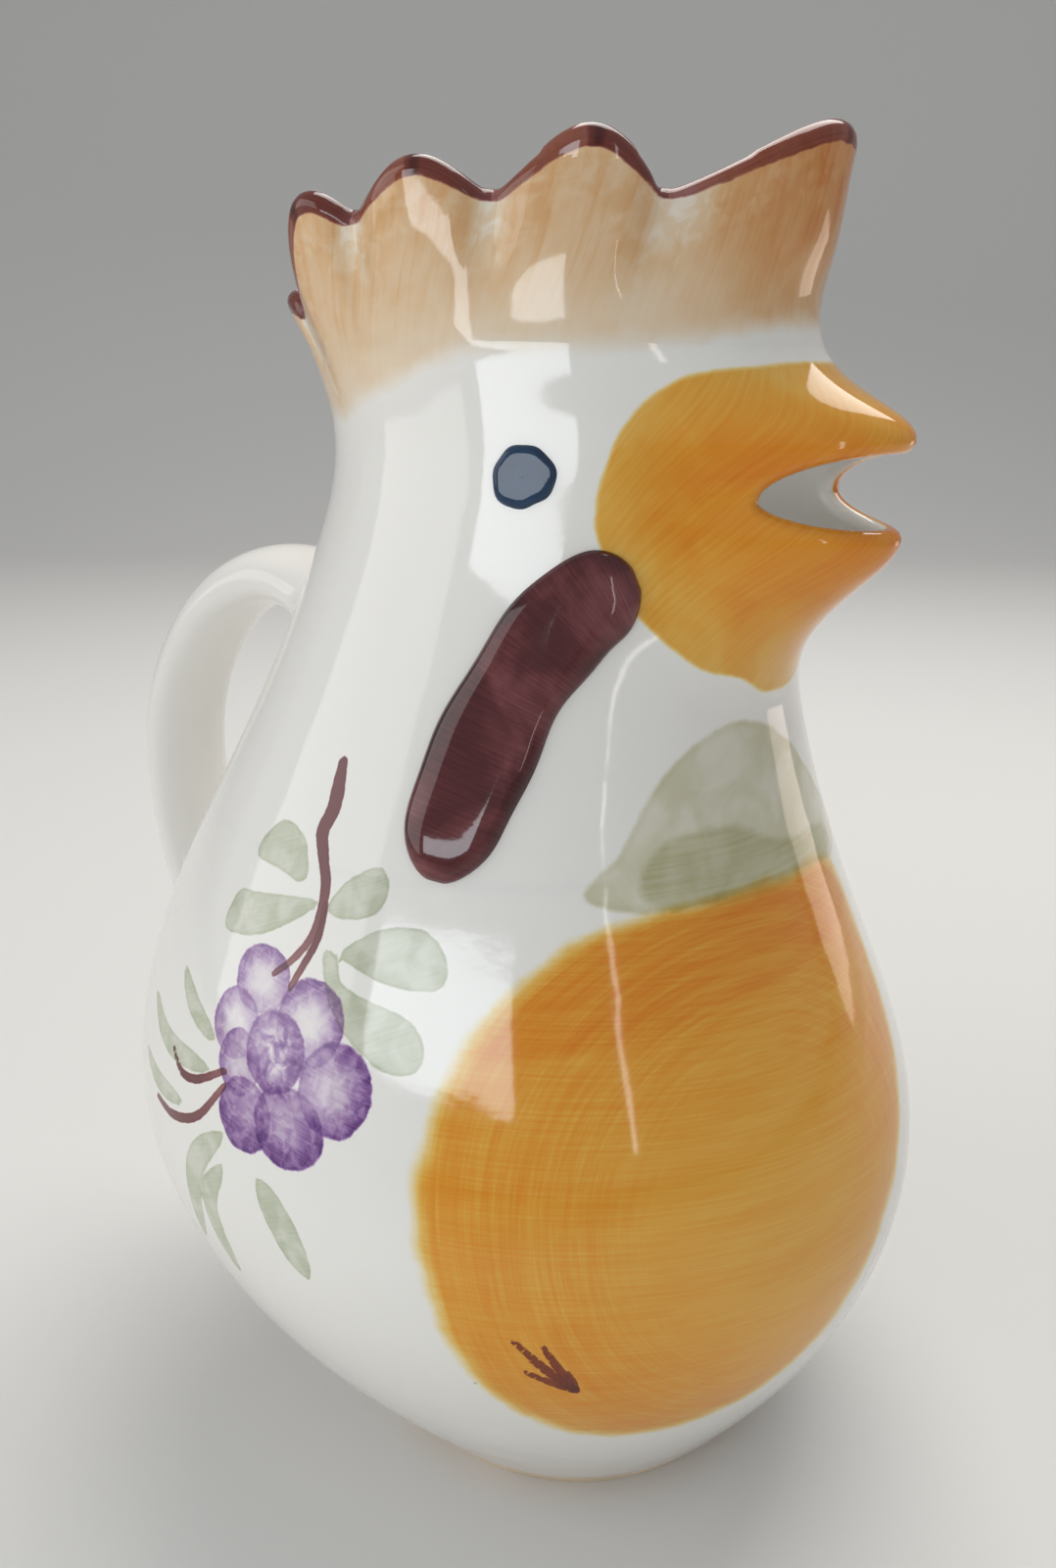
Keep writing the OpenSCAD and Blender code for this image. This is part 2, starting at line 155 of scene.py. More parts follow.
def from_beak(u):
    return np.abs((np.asarray(u, float) + 180) % 360 - 180)


def comb_tables():
    """Rim height and swell of the lobes round the comb, with the notches softened."""
    u = np.arange(0, 360, 0.1)
    d = from_beak(u)
    i = np.clip(np.searchsorted(LOBE_EDGES, d, side="right") - 1, 0, len(LOBE_SHARES) - 1)
    t = (d - LOBE_EDGES[i]) / (LOBE_EDGES[i + 1] - LOBE_EDGES[i])
    tops = NAPE_LOBE_Z + (TOTAL_H - NAPE_LOBE_Z) * LOBE_SHARES
    notches = (tops[:-1] + tops[1:]) / 2 - NOTCH * NOTCH_SHARES
    low = notches[np.maximum(i - 1, 0)]
    high = notches[np.minimum(i, len(notches) - 1)]
    bump = np.sin(np.pi * t)
    rim = low + (high - low) * t + (tops[i] - (low + high) / 2) * bump ** 1.2
    soft = np.exp(-0.5 * (np.arange(-60, 61) * 0.1 / 1.3) ** 2)
    soft /= soft.sum()

    def soften(v):
        return np.convolve(np.concatenate([v[-60:], v, v[:60]]), soft, mode="valid")

    return u, soften(rim), soften(bump)


COMB_U, COMB_RIM, COMB_BUMP = comb_tables()


def rim_z(u):
    return np.interp(u, COMB_U, COMB_RIM, period=360)


def beak_fade(u):
    d = from_beak(u)
    return np.where(d < BEAK_HALF, np.cos(np.pi / 2 * d / BEAK_HALF) ** 2, 0)


def skin(u, z):
    """The outer skin at angles from the beak, in degrees, and heights."""
    u, z = np.broadcast_arrays(np.asarray(u, float), np.asarray(z, float))
    f = FORM(z)
    q = np.maximum(0, (z - COMB_Z) / COMB_RISE)
    swell = (np.interp(u, COMB_U, COMB_BUMP, period=360) - INNER_SHARE) * FLUTE * q ** 1.4 * 1.6
    inside = (z > REACH.x[0]) & (z < REACH.x[-1])
    reach = np.where(inside, REACH(z), 0) * BEAK_REACH
    middle = (f[..., 0] - f[..., 1]) / 2
    half = (f[..., 0] + f[..., 1]) / 2
    c, s = np.cos(np.radians(u)), np.sin(np.radians(u))
    pinch = 1 - PROW_PINCH * np.minimum(1, q * 1.3) * c
    return np.stack([middle + (half + swell) * c + reach * beak_fade(u),
                     f[..., 2] * s * pinch + swell * s, z], -1)


def skin_normal(u, z):
    du = skin(u + 0.4, z) - skin(u - 0.4, z)
    dz = skin(u, z + 0.25) - skin(u, z - 0.25)
    n = np.cross(du, dz)
    return n / np.linalg.norm(n, axis=-1, keepdims=True)


def on_skin(p):
    """Angle from the beak and height of points beside the skin."""
    f = FORM(p[..., 2])
    middle = (f[..., 0] - f[..., 1]) / 2
    half = (f[..., 0] + f[..., 1]) / 2
    return np.degrees(np.arctan2(p[..., 1] / f[..., 2], (p[..., 0] - middle) / half)), p[..., 2]


# Unrolled distances on the skin: round the jug, and along its side from the foot
SIDE_Z = np.linspace(FOOT_H, TOTAL_H, 400)
SIDE_R = FORM(SIDE_Z).mean(-1)
SIDE_LENGTH = np.concatenate([[0], np.cumsum(np.hypot(np.diff(SIDE_Z), np.diff(SIDE_R)))])


def unrolled(u, z, u0, z0):
    """Millimetres round and up the skin from the place (u0, z0)."""
    turn = (np.asarray(u, float) - u0 + 180) % 360 - 180
    rise = np.interp(z, SIDE_Z, SIDE_LENGTH) - np.interp(z0, SIDE_Z, SIDE_LENGTH)
    return np.radians(turn) * np.interp(z, SIDE_Z, SIDE_R), rise


# Meshes: rows of points in millimetres with their normals, joined into closed pieces
COLUMNS = 480
COLUMN_STEP = 360 / COLUMNS
ALL_U = -180 + COLUMN_STEP * np.arange(COLUMNS)
EDGE_R = WALL / 2
EDGE_ROWS = 7


class Build:
    """Collects points, normals and faces, and makes one mesh object of them."""

    def __init__(self):
        self.points, self.normals, self.turns, self.faces = [], [], [], []
        self.count = 0

    def add(self, points, normals, u=0.0):
        """Adds rows of points and gives their numbers in the same rows.

        u is the angle from the beak that the points belong to.
        """
        shape = points.shape[:-1]
        ids = self.count + np.arange(int(np.prod(shape))).reshape(shape)
        self.points.append(points.reshape(-1, 3))
        self.normals.append(np.broadcast_to(normals, points.shape).reshape(-1, 3))
        self.turns.append(np.broadcast_to(u, shape).reshape(-1))
        self.count += ids.size
        return ids

    def quads(self, ids, ring=False, flip=False):
        """Faces between rows of numbers, closed round each row if it is a ring."""
        right = np.roll(ids, -1, 1) if ring else ids[:, 1:]
        left = ids if ring else ids[:, :-1]
        corners = [left[:-1], right[:-1], right[1:], left[1:]]
        if flip:
            corners.reverse()
        self.faces.append(np.stack(corners, -1).reshape(-1, 4))

    def fan(self, hub, row, flip=False):
        ends = [row, np.roll(row, -1)]
        if flip:
            ends.reverse()
        hubs = np.full(row.shape, hub)
        self.faces.append(np.stack([hubs, ends[0], ends[1], hubs], -1))

    def made(self, name):
        points = np.concatenate(self.points)
        normals = np.concatenate(self.normals)
        faces = []
        for rows in self.faces:
            pinched = rows[:, 0] == rows[:, 3]
            faces += rows[~pinched].tolist()
            faces += rows[pinched][:, :3].tolist()
        mesh = bpy.data.meshes.new(name)
        mesh.from_pydata((points * MM).tolist(), [], faces)
        mesh.polygons.foreach_set("use_smooth", np.ones(len(faces), bool))
        mesh.normals_split_custom_set_from_vertices(normals.tolist())
        piece = bpy.data.objects.new(name, mesh)
        bpy.context.scene.collection.objects.link(piece)
        return piece, np.concatenate(self.turns), points, normals


def unit(v):
    return v / np.maximum(np.linalg.norm(v, axis=-1, keepdims=True), 1e-9)


def wall_rows(u, z):
    """Outer and inner points of the wall and the outer normal at rows of places."""
    outer = skin(u, z)
    n = skin_normal(u, z)
    return outer, outer - n * WALL, n


def rounded_edge(build, u, z, along, outer_row, inner_row, ring=True):
    """A half round over the edge of the wall, from its outer to its inner row.

    along is the direction of the edge, with the wall on its right seen from outside.
    """
    n = skin_normal(u, z)
    over = unit(np.cross(n, along))
    middle = skin(u, z) - n * EDGE_R
    rows = [outer_row]
    for k in range(1, EDGE_ROWS):
        a = math.pi * k / EDGE_ROWS
        way = n * math.cos(a) + over * math.sin(a)
        rows.append(build.add(middle + way * EDGE_R, way, u))
    rows.append(inner_row)
    build.quads(np.stack(rows), ring)


def turned(row):
    """Direction along a closed row of points."""
    return unit(np.roll(row, -1, 0) - np.roll(row, 1, 0))


def make_belly():
    """The belly and its floor, from the foot up to the collar."""
    build = Build()
    heights = np.linspace(FOOT_H, COLLAR_Z, 121)
    u, z = np.meshgrid(ALL_U, heights)
    outer, inner, n = wall_rows(u, z)
    floor_z = FOOT_H + WALL
    inner[..., 2] = np.maximum(inner[..., 2], floor_z)
    out_ids = build.add(outer, n, u)
    build.quads(out_ids, ring=True)
    in_ids = build.add(inner[::4], -n[::4], u[::4])
    build.quads(in_ids, ring=True, flip=True)
    build.quads(np.stack([out_ids[-1], in_ids[-1]]), ring=True)
    down, up = np.array([0, 0, -1.0]), np.array([0, 0, 1.0])
    base_hub = build.add(np.array([[0, 0, FOOT_H]]), down)[0]
    floor_hub = build.add(np.array([[0, 0, floor_z]]), up)[0]
    build.fan(base_hub, out_ids[0], flip=True)
    build.fan(floor_hub, in_ids[0])
    return build.made("belly")


UPPER_LIP_SHARE = 0.59
LIP_TURN = 1.8
LIP_FULLNESS = 0.9
PANEL_RINGS = 30


def mouth_outline(count_left, count_up):
    """Places round the open mouth, one for each place round the beak's panel.

    The mouth is wider than its clear opening by the radius of the lips' edge.
    """
    side = BEAK_HALF
    panel_u = np.concatenate([np.linspace(-side, side, count_left + 1)[:-1],
                              np.full(count_up, side),
                              np.linspace(side, -side, count_left + 1)[:-1],
                              np.full(count_up, -side)])
    panel_t = np.concatenate([np.zeros(count_left), np.linspace(0, 1, count_up + 1)[:-1],
                              np.ones(count_left), np.linspace(1, 0, count_up + 1)[:-1]])
    panel_z = CHIN_Z + (COMB_Z - CHIN_Z) * panel_t
    middle = MOUTH_Z + MOUTH_GAP * (UPPER_LIP_SHARE - 0.5)
    turn = np.arctan2((panel_z - middle) / (COMB_Z - CHIN_Z) * 2, panel_u / side)
    half_u = math.degrees(math.asin(MOUTH_W / HEAD_W)) + LIP_TURN
    rise = np.sin(turn)
    up = MOUTH_GAP * UPPER_LIP_SHARE + EDGE_R
    down = MOUTH_GAP * (1 - UPPER_LIP_SHARE) + EDGE_R
    lift = np.sign(rise) * np.abs(rise) ** LIP_FULLNESS
    mouth_z = MOUTH_Z + np.where(rise > 0, up, down) * lift
    return panel_u, panel_z, half_u * np.cos(turn), mouth_z


def make_head():
    """Neck, head and beak, from the collar up to the foot of the comb."""
    build = Build()
    low = np.linspace(COLLAR_Z, CHIN_Z, 24)
    high = np.linspace(CHIN_Z, COMB_Z, 51)
    outer, inner, n = wall_rows(*np.meshgrid(ALL_U, low))
    neck_out = build.add(outer, n, ALL_U)
    neck_in = build.add(inner, -n, ALL_U)
    build.quads(neck_out, ring=True)
    build.quads(neck_in, ring=True, flip=True)
    build.quads(np.stack([neck_in[0], neck_out[0]]), ring=True)

    front = np.abs(ALL_U) <= BEAK_HALF + 1e-6
    back_u = np.concatenate([ALL_U[ALL_U >= BEAK_HALF - 1e-6],
                             360 + ALL_U[ALL_U <= 1e-6 - BEAK_HALF]])
    back = np.round((back_u + 180) / COLUMN_STEP).astype(int) % COLUMNS
    outer, inner, n = wall_rows(*np.meshgrid(back_u, high[1:]))
    cheek_out = np.concatenate([neck_out[-1][back][None], build.add(outer, n, back_u)])
    cheek_in = np.concatenate([neck_in[-1][back][None], build.add(inner, -n, back_u)])
    build.quads(cheek_out)
    build.quads(cheek_in, flip=True)

    across, up = int(front.sum()) - 1, len(high) - 1
    panel_u, panel_z, mouth_u, mouth_z = mouth_outline(across, up)
    brow_u = ALL_U[front][1:-1]
    outer, inner, n = wall_rows(brow_u, np.full(brow_u.shape, COMB_Z))
    brow_out, brow_in = build.add(outer, n, brow_u), build.add(inner, -n, brow_u)

    def frame_row(neck_row, cheek_rows, brow_row):
        """The panel's outline in the numbers of the pieces round it."""
        chin = neck_row[front]
        left, right = cheek_rows[:, -1], cheek_rows[:, 0]
        return np.concatenate([chin[:-1], right[:-1], [right[-1]], brow_row[::-1],
                               left[::-1][:-1]])

    out_frame = frame_row(neck_out[-1], cheek_out, brow_out)
    in_frame = frame_row(neck_in[-1], cheek_in, brow_in)
    share = (np.arange(1, PANEL_RINGS + 1) / PANEL_RINGS)[:, None]
    ring_u = panel_u + (mouth_u - panel_u) * share
    ring_z = panel_z + (mouth_z - panel_z) * share
    outer, inner, n = wall_rows(ring_u, ring_z)
    out_ids = np.concatenate([out_frame[None], build.add(outer, n, ring_u)])
    in_ids = np.concatenate([in_frame[None], build.add(inner, -n, ring_u)])
    build.quads(out_ids, ring=True)
    build.quads(in_ids, ring=True, flip=True)
    rounded_edge(build, mouth_u, mouth_z, turned(outer[-1]), out_ids[-1], in_ids[-1])

    top_out = np.concatenate([cheek_out[-1], brow_out])
    top_in = np.concatenate([cheek_in[-1], brow_in])
    build.quads(np.stack([top_out, top_in]), ring=True)
    return build.made("head")


def make_comb():
    """The open comb, with its rounded rim that dips between the lobes."""
    build = Build()
    rim = rim_z(ALL_U)
    line = skin(ALL_U, rim)
    way = turned(line)
    rim_row = rim - EDGE_R / np.maximum(np.hypot(way[:, 0], way[:, 1]), 0.5)
    share = np.linspace(0, 1, 44)[:, None]
    z = COMB_Z + (rim_row - COMB_Z) * share
    u = np.broadcast_to(ALL_U, z.shape)
    outer, inner, n = wall_rows(u, z)
    out_ids, in_ids = build.add(outer, n, u), build.add(inner, -n, u)
    build.quads(out_ids, ring=True)
    build.quads(in_ids, ring=True, flip=True)
    build.quads(np.stack([in_ids[0], out_ids[0]]), ring=True)
    rounded_edge(build, ALL_U, rim_row, turned(outer[-1]), out_ids[-1], in_ids[-1])
    return build.made("comb")


# The strap handle follows the same path as the part's, and flares into the wall
STRAP_X = BELLY_R + BELLY_BACK + HANDLE_GAP + HANDLE_T / 2
STRAP_SIDES = 64
STRAP_FILLET = 6.0
ROOT_DECAY = 0.07


def nape_at(z):
    return FORM(z)[..., 1]


def strap_curve():
    top, low = NECK_Z + HANDLE_TOP_RISE, BELLY_Z + HANDLE_LOW_RISE
    h = top - low
    top_gap, low_gap = STRAP_X - nape_at(top), STRAP_X - nape_at(low)
    path = np.array([
        [-nape_at(top), top], [-STRAP_X + top_gap * 0.76, top + h * 0.05],
        [-STRAP_X + top_gap * 0.48, top + h * 0.02], [-STRAP_X + top_gap * 0.22, top - h * 0.11],
        [-STRAP_X + top_gap * 0.04, top - h * 0.31], [-STRAP_X, top - h * 0.53],
        [-STRAP_X + low_gap * 0.15, top - h * 0.73], [-STRAP_X + low_gap * 0.5, top - h * 0.89],
        [-nape_at(low), low]])
    return Curve(np.linspace(0, 1, len(path)), path)


def on_nape(p):
    """Points moved along X onto the back of the skin."""
    f = FORM(p[..., 2])
    share = np.clip(p[..., 1] / f[..., 2], -0.99, 0.99)
    x = (f[..., 0] - f[..., 1]) / 2 - (f[..., 0] + f[..., 1]) / 2 * np.sqrt(1 - share ** 2)
    return np.stack([x, p[..., 1], p[..., 2]], -1)


def make_handle():
    build = Build()
    strap = strap_curve()
    length = np.linalg.norm(np.diff(strap(np.linspace(0, 1, 400)), axis=0), axis=-1).sum()
    root = STRAP_FILLET / length
    near = root * (1 - np.cos(np.linspace(0, np.pi / 2, 14)))
    t = np.concatenate([near, np.linspace(root, 1 - root, 90)[1:-1], 1 - near[::-1]])
    p = strap(t)
    d = unit(strap(np.minimum(1, t + 0.005)) - strap(np.maximum(0, t - 0.005)))
    grow = 1 + (ROOT_SHARE - 1) * (np.exp(-t / ROOT_DECAY) + np.exp((t - 1) / ROOT_DECAY))
    off = np.minimum(np.minimum(t, 1 - t) * length, STRAP_FILLET)
    flare = STRAP_FILLET - np.sqrt(STRAP_FILLET ** 2 - (STRAP_FILLET - off) ** 2)
    v = 2 * np.pi * np.arange(STRAP_SIDES) / STRAP_SIDES
    thick = (HANDLE_T / 2 * grow + flare)[:, None] * np.cos(v)
    wide = (HANDLE_W / 2 * grow + flare)[:, None] * np.sin(v)
    rings = np.stack([p[:, :1] - d[:, 1:] * thick, wide, p[:, 1:] + d[:, :1] * thick], -1)
    sink = ((1 - off / STRAP_FILLET) ** 2)[:, None, None]
    rings += (on_nape(rings) - rings) * sink
    along = np.gradient(rings, axis=0)
    round_way = np.roll(rings, -1, 1) - np.roll(rings, 1, 1)
    n = unit(np.cross(round_way, along))
    inside_out = (n * (rings - rings.mean(1, keepdims=True))).sum() < 0
    n = -n if inside_out else n
    for end in (0, -1):
        n[end] = skin_normal(*on_skin(rings[end]))
    ids = build.add(rings, n)
    build.quads(ids, ring=True, flip=inside_out)
    for end in (0, -1):
        middle = rings[end].mean(0, keepdims=True) + np.array([[WALL / 2, 0, 0]])
        hub = build.add(middle, n[end].mean(0))[0]
        build.fan(hub, ids[end], flip=(end == 0) != inside_out)
    return build.made("handle")


# Wattles and eyes: relief that stands on the skin, with edges that dip just under it
RELIEF_SINK = 0.3
WATTLE_TURNS = np.array([-42, -50, -57, -62.5, -66, -68.5, -69.5])
WATTLE_DROP_SHARES = np.array([0, 0.07, 0.20, 0.39, 0.61, 0.82, 1])
WATTLE_TOP_Z = MOUTH_Z - (MOUTH_Z - NECK_Z) * 0.30
WATTLE_LOW_Z = NECK_Z - NECK_RISE * 0.24
EYE_TURN = -69.0
EYE_Z = MOUTH_Z + MOUTH_DROP * 0.3
EYE_FLATNESS = 0.6


def relief(name, u, z, rise):
    """A closed shape over rows of places, as high as rise says."""
    build = Build()
    n = skin_normal(u, z)
    top = skin(u, z) + n * rise[..., None]
    seat = skin(u, z) - n * RELIEF_SINK
    du, dv = np.gradient(top, axis=1), np.gradient(top, axis=0)
    up = unit(np.cross(du, dv))
    up *= np.sign((up * n).sum())
    top_ids = build.add(top, up)
    seat_ids = build.add(seat, -n)
    facing = (np.cross(du, dv) * n).sum() > 0
    build.quads(top_ids, flip=not facing)
    build.quads(seat_ids, flip=facing)

    def border(ids):
        return np.concatenate([ids[0, :-1], ids[:-1, -1], ids[-1, :0:-1], ids[:0:-1, 0]])

    build.quads(np.stack([border(seat_ids), border(top_ids)]), ring=True, flip=not facing)
    return build.made(name)


def wattle_middle(t):
    path = Curve(np.linspace(0, 1, len(WATTLE_TURNS)), np.stack(
        [WATTLE_TURNS, WATTLE_TOP_Z - (WATTLE_TOP_Z - WATTLE_LOW_Z) * WATTLE_DROP_SHARES], -1))(t)
    return skin(path[..., 0], path[..., 1])


def make_wattle(name, side):
    """side is 1 for the bird's right wattle and -1 for its left one."""
    t = np.linspace(0, 1, 120)
    w = np.linspace(-1, 1, 41)
    c = wattle_middle(t)
    wattle_length = np.linalg.norm(np.diff(c, axis=0), axis=-1).sum()
    d = unit(wattle_middle(np.minimum(1, t + 0.02)) - wattle_middle(np.maximum(0, t - 0.02)))
    across = np.cross(skin_normal(*on_skin(c)), d)
    spread = np.sqrt(1 - 0.97 * np.abs(2 * t - 1) ** 4)
    waver = 1 + 0.05 * np.sin(9 * t + 1) + 0.03 * np.sin(23 * t)
    half = (WATTLE_W / 2 * spread * waver)[:, None, None]
    u, z = on_skin(c[:, None] + across[:, None] * half * w[None, :, None])
    ends = (1 - np.abs(2 * t - 1) ** 10)[:, None]
    body = (1 - np.abs(w) ** 3.2)[None] ** 0.55 * ends ** 0.5
    rise = WATTLE_RISE * body - RELIEF_SINK / 2 * (1 - body)
    piece = relief(name, u * side, z, np.minimum(rise, WATTLE_RISE))[0]
    spot = np.stack(np.broadcast_arrays(t[:, None] * wattle_length, w * half[:, :, 0], 0), -1)
    add_paint(piece, "place", np.tile(spot.reshape(-1, 3), (2, 1)))
    return piece


def make_eye(name, side):
    r = np.linspace(0.02, 1, 16)
    a = np.linspace(0, 2 * np.pi, 65)
    c = skin(EYE_TURN, EYE_Z)
    n = skin_normal(EYE_TURN, EYE_Z)
    across = unit(np.cross([0, 0, 1.0], n))
    up = np.cross(n, across)
    outline = 1 + 0.05 * np.sin(2 * a + 0.6) + 0.035 * np.sin(3 * a + 2) + 0.02 * np.sin(7 * a)
    reach = (r[:, None] * EYE_D / 2 * outline)[..., None]
    spots = c + reach * (across * np.cos(a)[:, None] + up * np.sin(a)[:, None])
    u, z = on_skin(spots)
    rise = EYE_RISE * EYE_FLATNESS * np.sqrt(1 - 0.999 * r ** 12)[:, None] + 0 * a
    rise -= RELIEF_SINK / 3
    return relief(name, u * side, z, rise)[0]


def add_paint(piece, name, values):
    """Stores three numbers a point, which the materials read by name."""
    data = piece.data.attributes.new(name, "FLOAT_VECTOR", "POINT")
    data.data.foreach_set("vector", np.asarray(values, np.float32).reshape(-1))


# Paint: shapes in millimetres on the unrolled skin, x round the jug and y up it
FLOWER_PLACE = (-88.0, 100.0)
FRUIT_PLACE = (-37.5, 85.0)
BEAK_PLACE = (0.0, 185.0)
FAR = 40.0

BEAK_PATCH = [(0, 17.5), (14, 17), (27, 15), (35.5, 7), (38, -4), (36, -11), (30, -20.5),
              (22, -28), (13, -31), (5, -34.5)]
FRUIT = [(-42, -11), (-37.5, 6), (-27, 22), (-10, 35.5), (8, 39), (30, 39), (50, 36),
         (61, 19), (64, 2), (58, -12), (47, -25), (31, -41), (14, -52), (-9, -56.5),
         (-25, -49), (-37, -33)]
BIG_LEAF = [(-9, 42), (-3, 49), (2, 57), (9, 64), (20, 67), (32, 63), (45, 54), (60, 41),
            (54, 36), (36, 38.5), (16, 39), (3, 38.5)]
LEAF_SHADE = [(0, 44), (6, 50), (18, 50), (31, 45), (50, 42.5), (54, 38), (40, 37.5),
              (16, 38), (3, 39.5)]
# Petals from the first painted to the last: middle, then half width and half height,
# and how much pigment each has at its heart and its rim
PETALS = [(-8, 8.1, 6.2, 5.6), (-12.2, -0.3, 5.6, 5.8), (3.2, 3.6, 6.4, 7.2),
          (-10.0, -6.2, 5.0, 5.4), (-7.8, -14.0, 6.0, 6.0), (1.6, -13.4, 7.0, 6.4),
          (9.6, -5.6, 6.6, 7.4), (-2.6, -2.4, 6.2, 6.6)]
PETAL_HEARTS = [0.15, 0.12, 0.12, 0.40, 1.25, 1.0, 0.55, 0.10]
PETAL_RIMS = [1.10, 0.95, 1.20, 0.95, 1.70, 1.75, 1.60, 0.85]
PETAL_COVER = 0.62
FLOWER_HEART = (-1.5, -3.5)
SPRAY_LEAVES = [
    [(-17, 27), (-15, 32), (-11.6, 34), (-6.5, 32), (-4, 27), (-5, 25), (-10, 26)],
    [(-20.5, 13.5), (-19, 20), (-15, 21), (-0.5, 22.8), (-6, 17.5), (-13, 14)],
    [(1.8, 22), (4, 27), (9, 30), (11.4, 27), (10.6, 22.8), (6, 21)],
    [(6.2, 15.5), (12, 20.4), (19, 21), (23.5, 17), (23.6, 12.2), (16, 11.8), (10, 13.5)],
    [(3, 15.5), (5.6, 14.8), (8.5, 10.5), (19, 7.4), (23, 3.4), (22.4, -0.8), (17, -1.2),
     (9, 4), (5, 9.5)]]
SPRAY_STROKES = [
    ([(-31, 3), (-25, -1.5), (-16.5, -5)], 1.9), ([(-44, -6), (-33, -10.5), (-17, -10)], 2.0),
    ([(-46, -17), (-37, -19), (-25, -18.5)], 1.7),
    ([(-12.5, -18.5), (-22, -28), (-26, -44)], 2.5), ([(-13, -24), (-18.5, -33), (-16, -46)], 2.2),
    ([(-4.5, -23), (0, -30), (3.5, -38)], 3.0)]
STEMS = [
    ([(-3.6, 45.4), (-2.6, 38), (-3.4, 34), (-1.8, 30), (0.4, 25), (0.4, 18), (-2.2, 13),
      (-5.6, 9.6)],
     [0.9, 1.4, 1.3, 0.95, 0.9, 0.7, 0.65, 0.55]),
    ([(1.2, 23), (1.4, 17), (-0.6, 11), (-1.8, 8)], [0.55, 0.65, 0.65, 0.55]),
    ([(-30, -11), (-26, -13.5), (-20.5, -12.6), (-13, -8.6)], [0.55, 0.75, 0.65, 0.55]),
    ([(-37, -22), (-29, -22), (-20, -18.5), (-12.8, -11)], [0.6, 0.8, 0.7, 0.55])]
# Where the tan of the comb ends, over the head's top, from the beak to the nape
TAN_FOOT_TURNS = [0, 25, 50, 75, 92, 122, 180]
TAN_FOOT_RISES = [3, 1.2, -0.5, -1.5, -4.5, -11.5, -13]
MARK_HUB = (-19.6, -38.6)
MARK_TIPS = [(-29, -26.5), (-26.5, -30.5), (-27.5, -33.5), (-22.5, -31.5), (-24.5, -27.5),
             (-20.8, -33.5)]
MARK_HALVES = [0.5, 0.8, 0.6]


def between(points, closed, count=14):
    """A smooth line through points, as evenly many steps between each two."""
    p = np.asarray(points, float)
    if closed:
        p = np.concatenate([p[-1:], p, p[:2]])
    else:
        p = np.concatenate([2 * p[:1] - p[1:2], p, 2 * p[-1:] - p[-2:-1]])
    t = np.linspace(0, 1, count, endpoint=False)[:, None]
    line = []
    for a, b, c, d in zip(p, p[1:], p[2:], p[3:]):
        line.append(0.5 * (2 * b + (c - a) * t + (2 * a - 5 * b + 4 * c - d) * t ** 2
                           + (3 * b - a - 3 * c + d) * t ** 3))
    if not closed:
        line.append(p[-2:-1])
    return np.concatenate(line)


def near_line(p, line):
    """Distance to a line of points, and the length of the line up to there."""
    a, b = line[:-1], line[1:]
    d = b - a
    size = np.linalg.norm(d, axis=1)
    start = np.concatenate([[0], np.cumsum(size)])[:-1]
    rel = p[:, None] - a
    t = np.clip((rel * d).sum(-1) / size ** 2, 0, 1)
    gap = np.linalg.norm(rel - d * t[..., None], axis=-1)
    i = gap.argmin(1)
    rows = np.arange(len(p))
    return gap[rows, i], start[i] + t[rows, i] * size[i]


def nearby(x, y, line, margin):
    low, high = line.min(0) - margin, line.max(0) + margin
    return (x > low[0]) & (x < high[0]) & (y > low[1]) & (y < high[1])


def outline_depth(x, y, points, margin=14.0):
    """Signed distance to a smooth closed outline, negative inside it."""
    line = between(points, closed=True)
    line = np.concatenate([line, line[:1]])
    depth = np.full(x.shape, FAR)
    k = np.flatnonzero(nearby(x, y, line, margin))
    for part in np.array_split(k, max(1, len(k) // 4000)):
        p = np.stack([x[part], y[part]], -1)
        gap = near_line(p, line)[0]
        a, b = line[:-1], line[1:]
        over = (a[:, 1] > p[:, 1:]) != (b[:, 1] > p[:, 1:])
        rise = np.where(b[:, 1] == a[:, 1], 1, b[:, 1] - a[:, 1])
        cross = a[:, 0] + (p[:, 1:] - a[:, 1]) / rise * (b[:, 0] - a[:, 0])
        inside = (over & (p[:, :1] < cross)).sum(1) % 2 == 1
        depth[part] = np.where(inside, -gap, gap)
    return depth


def stroke_depth(x, y, points, half, margin=5.0):
    """Distance past the edge of a brush stroke, and how far along it a place is.

    half is its half width: one number for a stroke that tapers at both ends, or one
    for each point. The third number of each row is left at 0.
    """
    line = between(points, closed=False)
    length = np.linalg.norm(np.diff(line, axis=0), axis=1).sum()
    out = stack3(np.full(x.shape, FAR), 0, 0)
    k = np.flatnonzero(nearby(x, y, line, margin))
    if len(k) == 0:
        return out
    gap, reached = near_line(np.stack([x[k], y[k]], -1), line)
    share = reached / length
    if np.ndim(half):
        width = np.interp(share, np.linspace(0, 1, len(half)), half)
    else:
        width = half * (1 - np.abs(2 * share - 1) ** 2.5) ** 0.7
    out[k] = stack3(gap - width, share, 0)
    return out


def nearest(layers):
    """Of several strokes, the values of the one that each place lies deepest in."""
    layers = np.stack(layers)
    i = layers[..., 0].argmin(0)
    return np.take_along_axis(layers, i[None, :, None], 0)[0]


def stack3(*columns):
    return np.stack(np.broadcast_arrays(*columns), -1).astype(float)


def paint_beak(piece, u, z):
    x, y = unrolled(u, z, *BEAK_PLACE)
    outline = BEAK_PATCH + [(-across, up) for across, up in BEAK_PATCH[:0:-1]]
    add_paint(piece, "beak", stack3(outline_depth(np.abs(x), y, outline), x, y))


